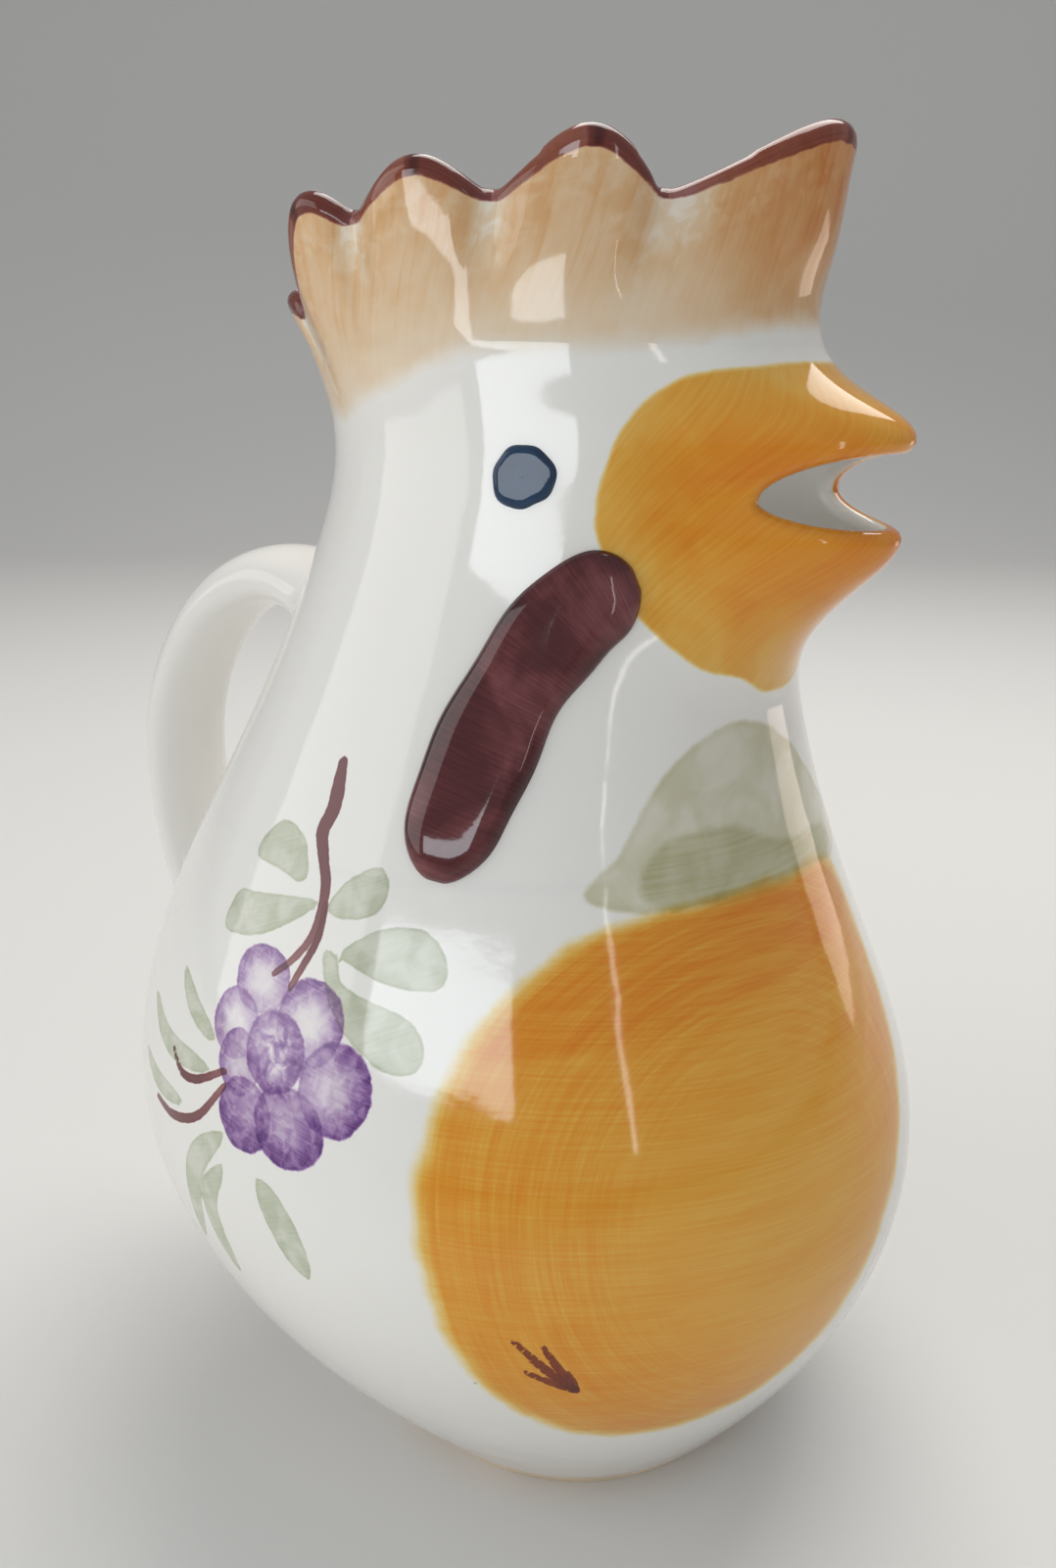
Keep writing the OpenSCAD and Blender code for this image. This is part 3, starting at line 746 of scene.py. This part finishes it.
def paint_fruit(piece, u, z):
    x, y = unrolled(u, z, *FRUIT_PLACE)
    add_paint(piece, "fruit", stack3(outline_depth(x, y, FRUIT, FAR), x, y))
    add_paint(piece, "big_leaf", stack3(outline_depth(x, y, BIG_LEAF),
                                        outline_depth(x, y, LEAF_SHADE), x))
    for k, tip in enumerate(MARK_TIPS):
        add_paint(piece, f"mark_{k}", stroke_depth(x, y, [tip, MARK_HUB], MARK_HALVES))


def paint_spray(piece, u, z):
    """The spray of leaves and a flower, the same on both flanks."""
    x, y = unrolled(-np.abs(u), z, *FLOWER_PLACE)
    add_paint(piece, "spray", stack3(x, y, 0))
    leaves = [stack3(outline_depth(x, y, leaf, 6.0), 0, 0) for leaf in SPRAY_LEAVES]
    leaves += [stroke_depth(x, y, path, half) for path, half in SPRAY_STROKES]
    add_paint(piece, "leaves", nearest(leaves))
    for k, (path, half) in enumerate(STEMS):
        add_paint(piece, f"stem_{k}", stroke_depth(x, y, path, half))
    petals = [np.hypot((x - across) / half_x, (y - up) / half_y)
              for across, up, half_x, half_y in PETALS]
    petals += [np.full(x.shape, FAR)] * (-len(petals) % 3)
    for k in range(0, len(petals), 3):
        add_paint(piece, f"petals_{k // 3}", stack3(*petals[k:k + 3]))


def paint_comb(piece, u, z):
    """Depth under the rim, place within the lobe and height over the end of the tan."""
    d = from_beak(u)
    lobe = np.clip(np.searchsorted(LOBE_EDGES, d, side="right") - 1, 0, len(LOBE_SHARES) - 1)
    phase = (d - LOBE_EDGES[lobe]) / (LOBE_EDGES[lobe + 1] - LOBE_EDGES[lobe])
    slope = np.gradient(COMB_RIM, COMB_U * math.pi / 180 * (COMB_L + COMB_W) / 4)
    lean = np.interp(u, COMB_U, slope, period=360)
    under_rim = (rim_z(u) - z) / np.hypot(1, lean)
    tan_foot = COMB_Z + np.interp(d, TAN_FOOT_TURNS, TAN_FOOT_RISES)
    add_paint(piece, "comb", stack3(under_rim, np.cos(2 * np.pi * phase), z - tan_foot))
    add_paint(piece, "lobe", stack3(phase, 0, 0))


def paint_skin(piece, turns, points, normals):
    """Gives a piece of the skin its places and the shapes painted on it."""
    u = (turns + 180) % 360 - 180
    z = points[:, 2]
    outside = (normals * skin_normal(u, z)).sum(-1)
    add_paint(piece, "place", stack3(*unrolled(u, z, *BEAK_PLACE), outside))
    for paint in (paint_beak, paint_fruit, paint_spray, paint_comb):
        paint(piece, u, z)


# Materials: pigments in the glaze take light away from a white ground
WHITE_GROUND = (0.80, 0.785, 0.745)
YELLOW = (0.12, 0.84, 3.0)
TAN = (0.17, 0.56, 1.10)
SAGE = (0.48, 0.41, 0.62)
KHAKI = (0.44, 0.46, 0.80)
PURPLE = (0.66, 1.02, 0.48)
MAROON = (1.70, 3.05, 2.90)
# Metres of relief in the glaze: flutes, slow waves and the skin of an orange
FLUTE_SHADE, WAVE_DEPTH, PEEL_DEPTH = 0.0022, 0.0005, 0.000018
WAVE_SCALE, PEEL_SCALE = 38.0, 420.0
GLAZE_IOR, EYE_IOR = 1.52, 1.42
CLAY_SOFTNESS, CLAY_REACH = 0.08, (0.003, 0.0024, 0.0018)
SPECK_SCALE, SPECK_SHARE, SPECK_DARKNESS = 95.0, 0.14, 0.55
IRON = (1.0, 1.05, 1.1)
NAVY = (0.016, 0.042, 0.090)
BISCUIT = (0.78, 0.64, 0.48)


class Shader:
    """Makes the nodes of one material, a few words for each."""

    def __init__(self, name):
        self.material = bpy.data.materials.new(name)
        self.material.use_nodes = True
        self.tree = self.material.node_tree
        self.surface = self.tree.nodes["Principled BSDF"]

    def node(self, kind, *inputs, **settings):
        made = self.tree.nodes.new(kind)
        for key, value in settings.items():
            setattr(made, key, value)
        for socket, value in zip(made.inputs, inputs):
            self.put(socket, value)
        return made

    def put(self, socket, value):
        if isinstance(value, bpy.types.NodeSocket):
            self.tree.links.new(value, socket)
        elif value is not None:
            socket.default_value = value

    def math(self, operation, *inputs):
        return self.node("ShaderNodeMath", *inputs, operation=operation).outputs[0]

    def add(self, first, *rest):
        for value in rest:
            first = self.math("ADD", first, value)
        return first

    def times(self, first, *rest):
        for value in rest:
            first = self.math("MULTIPLY", first, value)
        return first

    def read(self, name):
        return self.node("ShaderNodeAttribute", attribute_name=name).outputs["Vector"]

    def parts(self, vector):
        return self.node("ShaderNodeSeparateXYZ", vector).outputs[:]

    def joined(self, x, y, z):
        return self.node("ShaderNodeCombineXYZ", x, y, z).outputs[0]

    def noise(self, vector, scale, detail=3.0, rough=0.55, warp=0.0):
        made = self.node("ShaderNodeTexNoise", vector)
        for key, value in (("Scale", scale), ("Detail", detail), ("Roughness", rough),
                           ("Distortion", warp)):
            made.inputs[key].default_value = value
        return made.outputs["Fac"]

    def span(self, value, low, high, start=0.0, end=1.0, smooth=True):
        """start where value is low or less, end where it is high or more."""
        made = self.node("ShaderNodeMapRange", value, low, high, start, end)
        made.interpolation_type = "SMOOTHSTEP" if smooth else "LINEAR"
        return made.outputs[0]

    def inside(self, depth, soft, edge=0.0):
        """1 inside a painted shape and 0 outside it, over a soft width."""
        return self.span(depth, edge - soft, edge + soft, 1.0, 0.0)

    def tint(self, pigment, amount):
        made = self.node("ShaderNodeVectorMath", pigment, operation="SCALE")
        self.put(made.inputs["Scale"], amount)
        return made.outputs[0]

    def together(self, tints):
        total = tints[0]
        for tint in tints[1:]:
            total = self.node("ShaderNodeVectorMath", total, tint, operation="ADD").outputs[0]
        return total

    def ground_under(self, ground, tints):
        """The ground's colour after the pigments have taken their light away."""
        channels = [self.math("EXPONENT", self.math("MULTIPLY", c, -1.0))
                    for c in self.parts(self.together(tints))]
        left = self.joined(*channels)
        return self.node("ShaderNodeVectorMath", left, ground, operation="MULTIPLY").outputs[0]

    def glaze(self, colour, rough=0.07, relief=None, height=0.00003):
        """Fired glaze: glossy, a little soft below the surface, not quite even."""
        place = self.node("ShaderNodeTexCoord").outputs["Object"]
        wave = self.noise(place, WAVE_SCALE, 2.0)
        orange_peel = self.noise(place, PEEL_SCALE, 2.0)
        level = self.add(self.times(wave, WAVE_DEPTH), self.times(orange_peel, PEEL_DEPTH))
        if relief is not None:
            level = self.add(level, self.times(relief, height))
        bump = self.node("ShaderNodeBump")
        bump.inputs["Strength"].default_value = 0.6
        bump.inputs["Distance"].default_value = 1.0
        self.put(bump.inputs["Height"], level)
        surface = self.surface
        self.put(surface.inputs["Base Color"], colour)
        self.put(surface.inputs["Roughness"], rough)
        self.put(surface.inputs["IOR"], GLAZE_IOR)
        self.put(surface.inputs["Normal"], bump.outputs[0])
        self.put(surface.inputs["Subsurface Weight"], CLAY_SOFTNESS)
        self.put(surface.inputs["Subsurface Radius"], CLAY_REACH)
        self.put(surface.inputs["Subsurface Scale"], 1.0)
        return self.material


def specks(s):
    """Few small dark specks of iron in the glaze."""
    place = s.node("ShaderNodeTexCoord").outputs["Object"]
    cells = s.node("ShaderNodeTexVoronoi", place)
    cells.inputs["Scale"].default_value = SPECK_SCALE
    chosen = s.math("GREATER_THAN", s.parts(cells.outputs["Color"])[0], 1 - SPECK_SHARE)
    dot = s.span(cells.outputs["Distance"], 0.02, 0.045, 1.0, 0.0)
    return s.tint(IRON, s.times(chosen, dot, SPECK_DARKNESS))


def brushed(s, x, y, turn, length, width, low, high):
    """Streaks that a brush leaves along one direction, as a factor round 1."""
    c, n = math.cos(math.radians(turn)), math.sin(math.radians(turn))
    along = s.add(s.times(x, c), s.times(y, n))
    across = s.add(s.times(y, c), s.times(x, -n))
    place = s.joined(s.times(along, 1 / length), s.times(across, 1 / width), 0.0)
    return s.span(s.noise(place, 1.0, 4.0, 0.62), 0.3, 0.7, low, high, smooth=False)


def patches(s, x, y, size, low, high, shift=0.0):
    place = s.joined(s.times(x, 1 / size), s.times(y, 1 / size), shift)
    return s.span(s.noise(place, 1.0, 3.0, 0.5, 0.6), 0.35, 0.65, low, high)


def wavering(s, x, y, size, amount):
    """A small uneven shift that keeps painted edges from being too exact."""
    place = s.joined(s.times(x, 1 / size), s.times(y, 1 / size), 3.0)
    return s.times(s.add(s.noise(place, 1.0, 3.0, 0.6), -0.5), amount)


def beak_tint(s, outer):
    depth, x, y = s.parts(s.read("beak"))
    depth = s.add(depth, wavering(s, x, y, 9.0, 1.2))
    mask = s.times(s.inside(depth, 0.5), outer)
    wash = s.times(brushed(s, x, y, 52, 16, 0.55, 0.86, 1.16), patches(s, x, y, 12, 0.88, 1.14))
    depth_in = s.span(depth, -18.0, -1.0, 1.45, 0.85)
    return s.tint(YELLOW, s.times(mask, wash, depth_in))


def fruit_tint(s, outer):
    depth, x, y = s.parts(s.read("fruit"))
    depth = s.add(depth, wavering(s, x, y, 9.0, 3.0))
    mask = s.times(s.span(depth, -3.0, 1.6, 1.0, 0.0), outer)
    round_x = s.add(x, -18.0)
    round_y = s.add(y, 14.0)
    away = s.math("SQRT", s.add(s.times(round_x, round_x), s.times(round_y, round_y)))
    shade = s.span(s.add(away, wavering(s, x, y, 14.0, 26.0)), 9.0, 44.0, 0.92, 1.14)
    # Strokes that go round the fruit near its rim and straight across its middle
    way = s.joined(s.times(away, 1 / 0.7), s.times(s.math("DIVIDE", round_x, away), 2.6),
                   s.times(s.math("DIVIDE", round_y, away), 2.6))
    rings = s.span(s.noise(way, 1.0, 4.0, 0.6), 0.32, 0.68, -0.16, 0.16, smooth=False)
    rings = s.times(rings, s.span(away, 18.0, 38.0))
    wash = s.add(s.times(brushed(s, x, y, -4, 24, 0.45, 0.84, 1.16),
                         brushed(s, x, y, 8, 40, 6, 0.9, 1.1)), rings)
    top = s.times(s.span(s.add(y, s.times(x, -0.12)), 19.0, 21.5), 0.22)
    return s.tint(YELLOW, s.times(mask, wash, s.add(shade, top)))


def big_leaf_tint(s, outer):
    depth, shade_depth, x = s.parts(s.read("big_leaf"))
    y = s.parts(s.read("fruit"))[2]
    waver = wavering(s, x, y, 5.0, 1.4)
    pale = s.times(s.inside(s.add(depth, waver), 0.6), patches(s, x, y, 10, 0.42, 0.78))
    rim = s.times(s.inside(s.add(depth, waver), 0.5), s.span(depth, -2.0, 0.0, 0.0, 0.2))
    dark = s.times(s.inside(s.add(shade_depth, waver), 1.0),
                   brushed(s, x, y, 0, 20, 0.7, 0.40, 0.85))
    return s.tint(KHAKI, s.times(s.add(pale, rim, dark), outer))


def leaves_tint(s, outer):
    x, y = s.parts(s.read("spray"))[:2]
    depth = s.add(s.parts(s.read("leaves"))[0], wavering(s, x, y, 2.2, 0.7))
    body = s.times(patches(s, x, y, 5, 0.60, 1.08), brushed(s, x, y, 25, 12, 0.45, 0.82, 1.15))
    rim = s.span(depth, -0.7, -0.1, 0.0, 0.28)
    return s.tint(SAGE, s.times(s.inside(depth, 0.18), s.add(body, rim), outer))


def petals_tint(s, outer):
    """Washes laid one over another: dark rims, whitish hearts, darker away from the middle."""
    x, y = s.parts(s.read("spray"))[:2]
    waver = s.add(wavering(s, x, y, 4.5, 0.22), wavering(s, x, y, 1.3, 0.07))
    heart_x, heart_y = s.add(x, -FLOWER_HEART[0]), s.add(y, -FLOWER_HEART[1])
    heart = s.math("SQRT", s.add(s.times(heart_x, heart_x), s.times(heart_y, heart_y)))
    wash = s.times(brushed(s, x, y, -12, 9, 0.4, 0.78, 1.2), patches(s, x, y, 1.9, 0.68, 1.25, 5.0))
    total = 0.0
    for k, (across, up, _, half_y) in enumerate(PETALS):
        reach = s.add(s.parts(s.read(f"petals_{k // 3}"))[k % 3], waver)
        inside = s.span(reach, 0.96, 1.03, 1.0, 0.0)
        away = math.hypot(across - FLOWER_HEART[0], up - FLOWER_HEART[1])
        outward = s.span(heart, away - half_y, away + half_y, 0.55, 1.35)
        rim = s.span(reach, 0.84, 0.98, 0.0, 0.34)
        spread = s.span(reach, 0.2, 0.95, PETAL_HEARTS[k], PETAL_RIMS[k])
        amount = s.times(inside, s.add(s.times(spread, wash, outward), rim))
        total = s.add(s.times(total, s.span(inside, 0.0, 1.0, 1.0, 1 - PETAL_COVER)), amount)
    blots = s.times(s.span(s.add(heart, s.times(waver, 26.0)), 3.0, 7.5, 1.0, 0.0),
                    patches(s, x, y, 2.6, 0.0, 1.5, 8.0))
    return s.tint(PURPLE, s.times(s.add(total, blots), outer))


def strokes_tint(s, outer, prefix, count, strength):
    x, y = s.parts(s.read("spray"))[:2]
    waver = wavering(s, x, y, 1.6, 0.35)
    masks = []
    for k in range(count):
        depth, share = s.parts(s.read(f"{prefix}_{k}"))[:2]
        edge = s.span(depth, -0.35, 0.0, 1.0, 1.25)
        masks.append(s.times(s.inside(s.add(depth, waver), 0.14), edge,
                             s.span(share, 0.45, 1.0, *strength)))
    total = masks[0]
    for mask in masks[1:]:
        total = s.math("MAXIMUM", total, mask)
    return s.tint(MAROON, s.times(total, outer))


def comb_tints(s, outer):
    """Tan brushed down over the comb, and a maroon line painted along its rim. The tan is made
    darker at the prow as painted shade, and paler in the valleys under the notches as a painted
    highlight.
    """
    under_rim, lobe, over_base = s.parts(s.read("comb"))
    x, y = s.parts(s.read("place"))[:2]
    fade = s.add(over_base, wavering(s, x, y, 12.0, 4.0))
    wash = s.times(brushed(s, x, y, 90, 14, 1.3, 0.80, 0.98), patches(s, x, y, 9, 0.88, 1.10))
    # Painted shade: the tan is up to twice as strong at the prow, darkest on the beak's line.
    front = s.span(s.math("ABSOLUTE", x), 8.0, 36.0, 2.0, 0.95)
    # Painted highlight: the tan is paler in the valleys under the notches, near the rim.
    valley = s.times(s.span(lobe, 0.62, 0.97), s.span(under_rim, 12.0, 4.0))
    pale = s.add(1.0, s.times(valley, -0.75))
    mottle = s.times(patches(s, x, y, 3.2, 0.0, 1.0, 11.0), s.span(under_rim, 14.0, 5.0), 0.38)
    height = s.span(over_base, 1.0, 16.0, 0.62, 1.05)
    drag = s.times(brushed(s, x, y, 90, 30, 2.4, -0.45, 0.42), height)
    drag = s.times(s.math("MAXIMUM", drag, 0.0), s.span(over_base, 5.0, 15.0))
    coat = s.add(s.times(wash, front, pale, height), mottle, drag)
    body = s.times(s.span(fade, -1.2, 3.2), coat)
    band = s.add(under_rim, wavering(s, x, y, 5.0, 1.1), s.times(lobe, 0.55))
    line = s.times(s.span(band, 2.2, 2.6, 1.0, 0.0), s.span(outer, 0.0, 0.05))
    # Each lobe has one stroke up from either side, and they meet at its peak
    phase = s.parts(s.read("lobe"))[0]
    meeting = s.times(s.span(phase, 0.42, 0.46), s.span(phase, 0.50, 0.53, 0.45, 0.0))
    stroke = s.times(brushed(s, x, s.times(under_rim, 3.0), 0, 18, 0.8, 0.76, 1.1),
                     s.add(s.span(phase, 0.47, 0.50, 1.0, 0.66), meeting))
    return [s.tint(TAN, s.times(body, outer)), s.tint(MAROON, s.times(line, stroke))]


def comb_flutes(s):
    """The valleys that run down from the comb's notches and fade out over the head."""
    lobe, over_base = s.parts(s.read("comb"))[1:]
    valley = s.math("POWER", s.span(lobe, -0.1, 1.0, smooth=False), 2.0)
    return s.times(valley, s.span(over_base, 1.0, 22.0), -1.0)


def painted_material():
    """White glaze with everything that is painted on the jug's skin."""
    s = Shader("painted_glaze")
    facing = s.parts(s.read("place"))[2]
    outer = s.span(facing, -0.15, 0.15)
    tints = [beak_tint(s, outer), fruit_tint(s, outer), big_leaf_tint(s, outer),
             leaves_tint(s, outer), petals_tint(s, outer),
             strokes_tint(s, outer, "stem", len(STEMS), (1.0, 0.62)),
             strokes_tint(s, outer, "mark", len(MARK_TIPS), (0.7, 1.0)), specks(s)]
    tints += comb_tints(s, outer)
    return s.glaze(s.ground_under(WHITE_GROUND, tints), relief=comb_flutes(s), height=FLUTE_SHADE)


def plain_white_material():
    s = Shader("white_glaze")
    return s.glaze(s.ground_under(WHITE_GROUND, [specks(s)]))


def wattle_material():
    s = Shader("wattle_glaze")
    along, across = s.parts(s.read("place"))[:2]
    streak = brushed(s, along, across, 90, 9, 0.35, 0.86, 1.12)
    wash = patches(s, along, across, 12, 0.84, 1.3)
    edge = s.span(s.math("ABSOLUTE", across), 5.6, 7.4, 1.0, 1.25)
    amount = s.times(streak, wash, edge, 1.12)
    return s.glaze(s.ground_under(WHITE_GROUND, [s.tint(MAROON, amount)]), 0.06)


def eye_material():
    s = Shader("eye_glaze")
    place = s.node("ShaderNodeTexCoord").outputs["Object"]
    shade = s.span(s.noise(place, 300.0), 0.3, 0.7, 0.8, 1.25)
    navy = s.tint(NAVY, shade)
    s.glaze(navy, 0.05)
    s.surface.inputs["IOR"].default_value = EYE_IOR
    return s.material


def biscuit_material():
    """The unglazed foot: warm, matt and grainy clay."""
    s = Shader("biscuit_clay")
    place = s.node("ShaderNodeTexCoord").outputs["Object"]
    grain = s.noise(place, 900.0, 4.0, 0.7)
    cloud = s.noise(place, 60.0)
    mixed = s.add(s.times(grain, 0.4), s.times(cloud, 0.6))
    colour = s.tint(BISCUIT, s.span(mixed, 0.3, 0.7, 0.8, 1.1))
    s.put(s.surface.inputs["Base Color"], colour)
    s.put(s.surface.inputs["Roughness"], 0.85)
    bump = s.node("ShaderNodeBump")
    bump.inputs["Distance"].default_value = 0.0002
    s.put(bump.inputs["Height"], grain)
    s.put(s.surface.inputs["Normal"], bump.outputs[0])
    return s.material


# Camera, at the place that fits the photograph's perspective
VIEW_TURN, VIEW_DROP = 31.0, 17.0
VIEW_REACH, VIEW_HEIGHT = 237.0, 200.0
VIEW_FOCAL_PX, VIEW_LONG_PX, VIEW_WIDE_PX = 1350.0, 1600, 1078
VIEW_AXIS_PX = 592.0
FILM_MM = 36.0


def set_camera():
    turn, drop = math.radians(VIEW_TURN), math.radians(VIEW_DROP)
    offset = (VIEW_AXIS_PX - VIEW_WIDE_PX / 2) / VIEW_FOCAL_PX / math.cos(drop)
    heading = math.atan2(math.cos(turn), -math.sin(turn)) + math.atan(offset)
    flat = Vector((math.cos(heading), math.sin(heading), 0))
    forward = flat * math.cos(drop) + Vector((0, 0, -math.sin(drop)))
    camera = bpy.data.cameras.new("photo_view")
    camera.sensor_width = FILM_MM
    camera.lens = VIEW_FOCAL_PX / VIEW_LONG_PX * FILM_MM
    camera.clip_start = 0.01
    eye = bpy.data.objects.new("photo_view", camera)
    eye.location = (VIEW_REACH * MM * math.sin(turn), -VIEW_REACH * MM * math.cos(turn),
                    VIEW_HEIGHT * MM)
    eye.rotation_euler = forward.to_track_quat("-Z", "Y").to_euler()
    bpy.context.scene.collection.objects.link(eye)
    bpy.context.scene.camera = eye


# The studio: a pale floor that rises into a wall far behind, and soft lights
FLOOR_COLOUR = (0.70, 0.69, 0.67)
AIM = (0.0, 0.0, 0.12)
SWEEP_REACH, SWEEP_RADIUS, SWEEP_HALF = 1.3, 0.9, 4.0
SKY_COLOUR, SKY_STRENGTH = (0.88, 0.90, 0.93), 0.48
# Name, angle from the beak, height, distance, width and height, glow, colour
SOFT_LIGHTS = [
    ("window", -80, 0.178, 0.36, (0.26, 0.055), 5.4, (0.89, 0.95, 1.0)),
    ("room_left", -132, 0.5, 1.3, (1.2, 0.9), 1.5, (1.0, 0.99, 0.97)),
    ("door_gap", -30, 0.175, 0.45, (0.010, 0.10), 5.5, (1.0, 0.97, 0.92)),
    ("floor_glow", 60, 0.10, 0.6, (0.16, 0.14), 1.5, (1.0, 0.84, 0.72)),
    ("above", 100, 1.1, 0.5, (0.9, 0.9), 3.9, (1.0, 0.98, 0.94))]


def make_floor():
    """One sheet: flat under the jug, then curved up behind it as seen in the photograph."""
    turns = np.linspace(0, math.pi / 2, 25)
    out = np.concatenate([[-SWEEP_HALF], SWEEP_REACH + SWEEP_RADIUS * np.sin(turns),
                          [SWEEP_REACH + SWEEP_RADIUS]])
    up = np.concatenate([[0], SWEEP_RADIUS * (1 - np.cos(turns)), [SWEEP_HALF]])
    away = np.array([-math.sin(math.radians(VIEW_TURN)), math.cos(math.radians(VIEW_TURN))])
    side = np.array([away[1], -away[0]]) * SWEEP_HALF
    rows = [(*(away * o + side * k), h) for k in (-1, 1) for o, h in zip(out, up)]
    n = len(out)
    mesh = bpy.data.meshes.new("floor")
    mesh.from_pydata(rows, [], [(i, i + 1, n + i + 1, n + i) for i in range(n - 1)])
    mesh.polygons.foreach_set("use_smooth", np.ones(n - 1, bool))
    floor = bpy.data.objects.new("floor", mesh)
    bpy.context.scene.collection.objects.link(floor)
    material = bpy.data.materials.new("floor")
    material.use_nodes = True
    surface = material.node_tree.nodes["Principled BSDF"]
    surface.inputs["Base Color"].default_value = (*FLOOR_COLOUR, 1)
    surface.inputs["Roughness"].default_value = 0.9
    surface.inputs["Specular IOR Level"].default_value = 0.1
    mesh.materials.append(material)


def soft_light(name, turn, height, distance, size, glow, colour):
    """A softbox at an angle round the jug, seen from above, from the beak's side.

    glow is how bright its face looks, whatever its size.
    """
    light = bpy.data.lights.new(name, "AREA")
    light.shape = "RECTANGLE"
    light.size, light.size_y = size
    light.energy = glow * math.pi * size[0] * size[1]
    light.color = colour
    holder = bpy.data.objects.new(name, light)
    a = math.radians(turn)
    holder.location = (distance * math.cos(a), distance * math.sin(a), height)
    way = Vector(AIM) - holder.location
    holder.rotation_euler = way.to_track_quat("-Z", "Y").to_euler()
    holder.visible_camera = False
    bpy.context.scene.collection.objects.link(holder)


def light_studio():
    world = bpy.data.worlds.new("studio")
    bpy.context.scene.world = world
    world.use_nodes = True
    sky = world.node_tree.nodes["Background"]
    sky.inputs["Color"].default_value = (*SKY_COLOUR, 1)
    sky.inputs["Strength"].default_value = SKY_STRENGTH
    for light in SOFT_LIGHTS:
        soft_light(*light)
    bpy.context.scene.view_settings.view_transform = "Standard"


def dress(piece, material, slot, *nodes):
    piece.data.materials.append(material)
    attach(piece, "root")
    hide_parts(*nodes)


def make_jug():
    painted, plain = painted_material(), plain_white_material()
    skins = [(make_belly, "white_glaze", ["belly_shell"]),
             (make_head, "white_glaze", ["neck_shell", "head_shell", "upper_beak", "lower_beak"]),
             (make_comb, "tan_glaze", ["comb_crown"])]
    for make, slot, nodes in skins:
        piece, turns, points, normals = make()
        paint_skin(piece, turns, points, normals)
        dress(piece, painted, slot, *nodes)
    dress(make_handle()[0], plain, "white_glaze", "handle")
    wattle, eye = wattle_material(), eye_material()
    for side, name in ((1, "right"), (-1, "left")):
        dress(make_wattle(f"{name}_wattle_relief", side), wattle, "brown_glaze", f"{name}_wattle")
        dress(make_eye(f"{name}_eye_dot", side), eye, "navy_glaze", f"{name}_eye")
    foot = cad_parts["foot_ring"]
    foot.data.materials.clear()
    foot.data.materials.append(biscuit_material())


make_jug()
make_floor()
light_studio()
set_camera()
